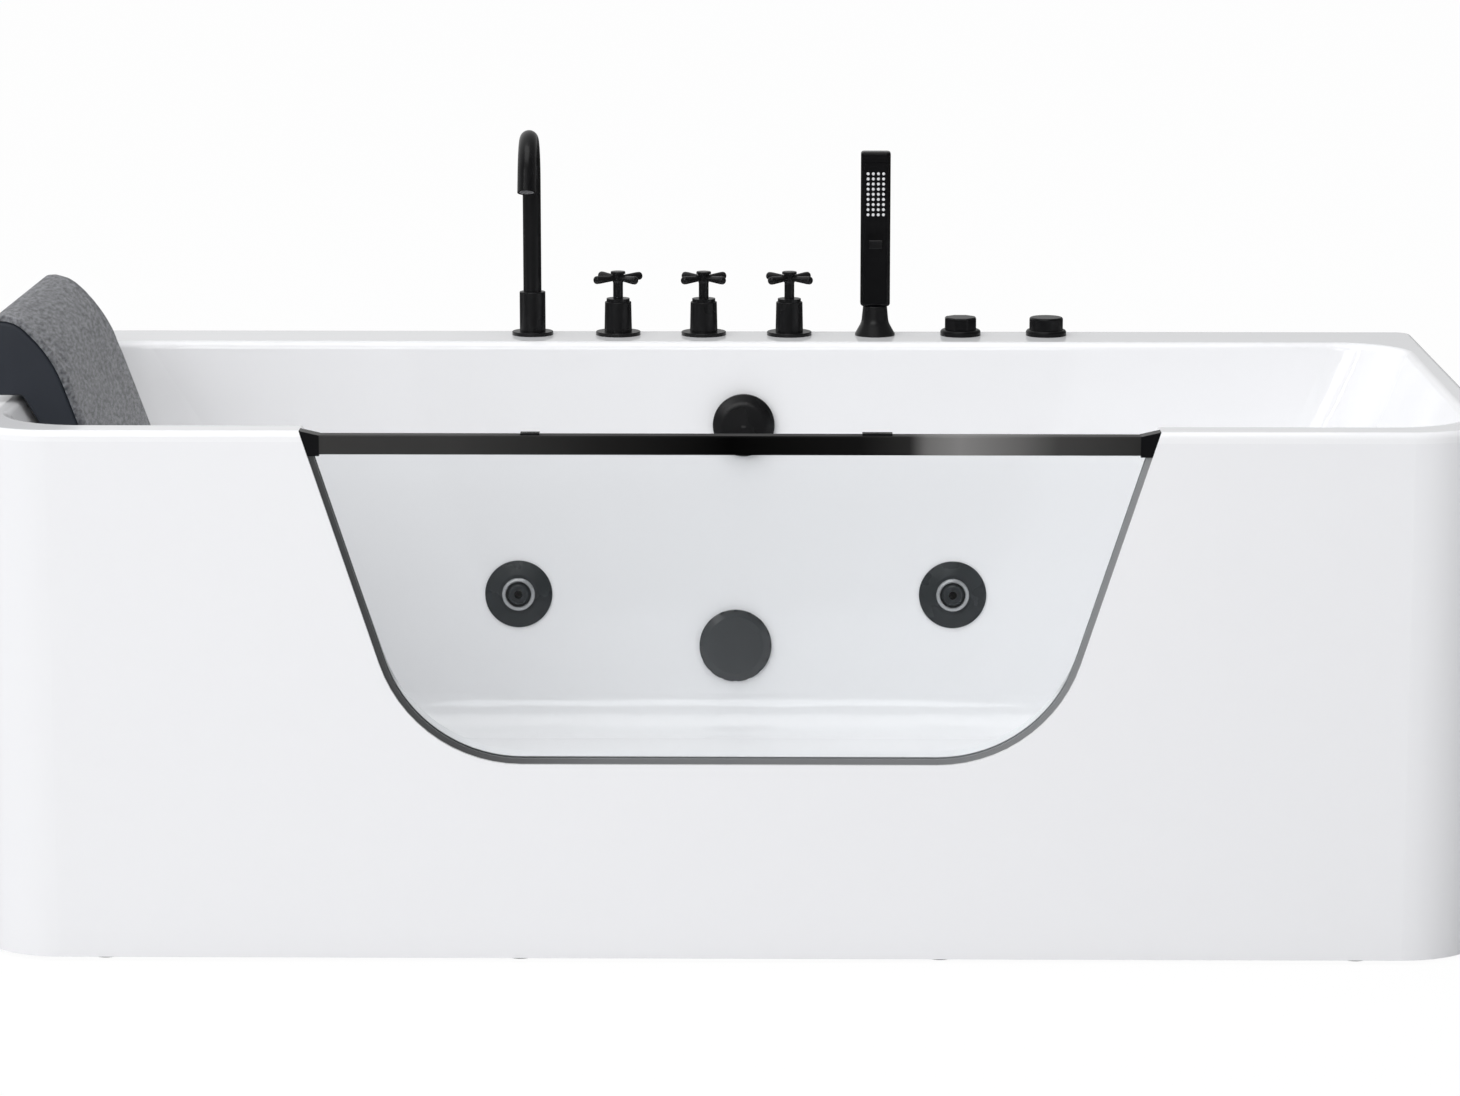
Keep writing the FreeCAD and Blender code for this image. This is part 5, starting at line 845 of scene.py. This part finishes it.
def make_head_tree():
    """A prism that stands on each point and points to the wall."""
    tree, source, result = new_tree("screw_head", [
        ("Sides", "NodeSocketInt"), ("Radius", "NodeSocketFloat"),
        ("Height", "NodeSocketFloat"), ("Material", "NodeSocketMaterial")])
    head = tree.nodes.new("GeometryNodeMeshCylinder")
    tree.links.new(source.outputs["Sides"], head.inputs["Vertices"])
    tree.links.new(source.outputs["Radius"], head.inputs["Radius"])
    tree.links.new(source.outputs["Height"], head.inputs["Depth"])
    lay = tree.nodes.new("GeometryNodeTransform")
    lay.inputs["Rotation"].default_value = (math.radians(90), 0, 0)
    tree.links.new(head.outputs["Mesh"], lay.inputs["Geometry"])
    set_on_points(tree, source, result, lay.outputs["Geometry"])
    return tree


def grow(name, points, tree, material, **values):
    """Runs a tree on a set of points and keeps the result as one plain mesh."""
    seeds = bpy.data.meshes.new(name + "_points")
    seeds.from_pydata([tuple(point) for point in points], [], [])
    piece = bpy.data.objects.new(name, seeds)
    bpy.context.scene.collection.objects.link(piece)
    modifier = piece.modifiers.new("repeat", "NODES")
    modifier.node_group = tree
    values["Material"] = material
    for item in tree.interface.items_tree:
        if item.in_out == "INPUT" and item.name in values:
            modifier[item.identifier] = values[item.name]
    graph = bpy.context.evaluated_depsgraph_get()
    finished = bpy.data.meshes.new_from_object(piece.evaluated_get(graph))
    piece.modifiers.clear()
    piece.data = finished
    box = bmesh.new()
    box.from_mesh(finished)
    bmesh.ops.recalc_face_normals(box, faces=box.faces)
    box.to_mesh(finished)
    box.free()
    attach(piece, "tub")
    print(name, len(finished.polygons), "faces")
    return piece


THREAD_TREE = make_thread_tree()
HEAD_TREE = make_head_tree()
print("trees:", THREAD_TREE.name, HEAD_TREE.name)

# %% [markdown]
# ### Threads under the deck and on the feet
# Every fitting is held by a nut on its threaded shank, and every foot screws into the frame.
# The shanks' places follow from the row of fittings: seven, evenly spaced along the deck.

# %% Threads
ROW_Y, ROW_FIRST, ROW_PITCH = 0.364, -0.256, 0.1075
SHANK_RADIUS, SHANK_LOW, SHANK_THREAD = 0.0127, 0.5555, 0.022
row = [(ROW_FIRST + ROW_PITCH * index, ROW_Y, SHANK_LOW) for index in range(7)]
shank_thread = {"Radius": SHANK_RADIUS, "Height": SHANK_THREAD, "Turns": 12.0, "Tooth": 0.0010}
grow("brass_shank_threads", row[:5], THREAD_TREE, cast_brass, **shank_thread)
grow("plastic_shank_threads", row[5:], THREAD_TREE, pump_black, **shank_thread)
FOOT_X, FOOT_Y, FOOT_LOW = (0.700, 0.235), 0.3715, 0.014
feet = [(x * side, y, FOOT_LOW) for x in FOOT_X for side in (-1, 1) for y in (-FOOT_Y, FOOT_Y)]
grow("foot_stud_threads", feet, THREAD_TREE, zinc, Radius=0.0058, Height=0.046, Turns=20.0,
     Tooth=0.0012)

# %% [markdown]
# ### Bolt heads on the pump and screws on the control box
# Six hexagon heads clamp the pump's rim, and four round heads hold the control box's lid. They
# face the wall, where a fitter reaches them.

# %% Heads
SINK = 0.0002
PUMP_X, PUMP_Z, RIM_Y, RIM_RADIUS = 0.760, 0.178, 0.247, 0.0675
HEX_HEIGHT = 0.004
angles = [math.radians(60 * step + 30) for step in range(6)]
rim = [(PUMP_X + RIM_RADIUS * math.cos(angle), RIM_Y + HEX_HEIGHT / 2 - SINK,
        PUMP_Z + RIM_RADIUS * math.sin(angle)) for angle in angles]
grow("pump_rim_bolts", rim, HEAD_TREE, zinc, Sides=6, Radius=0.0055, Height=HEX_HEIGHT)
BOX_MIDDLE, BOX_HALF, LID_Y = (0.480, 0.435), (0.040, 0.046), 0.384
SCREW_HEIGHT = 0.0016
lid = [(BOX_MIDDLE[0] + BOX_HALF[0] * across, LID_Y + SCREW_HEIGHT / 2 - SINK,
        BOX_MIDDLE[1] + BOX_HALF[1] * up) for across in (-1, 1) for up in (-1, 1)]
grow("control_box_screws", lid, HEAD_TREE, zinc, Sides=12, Radius=0.0035, Height=SCREW_HEIGHT)
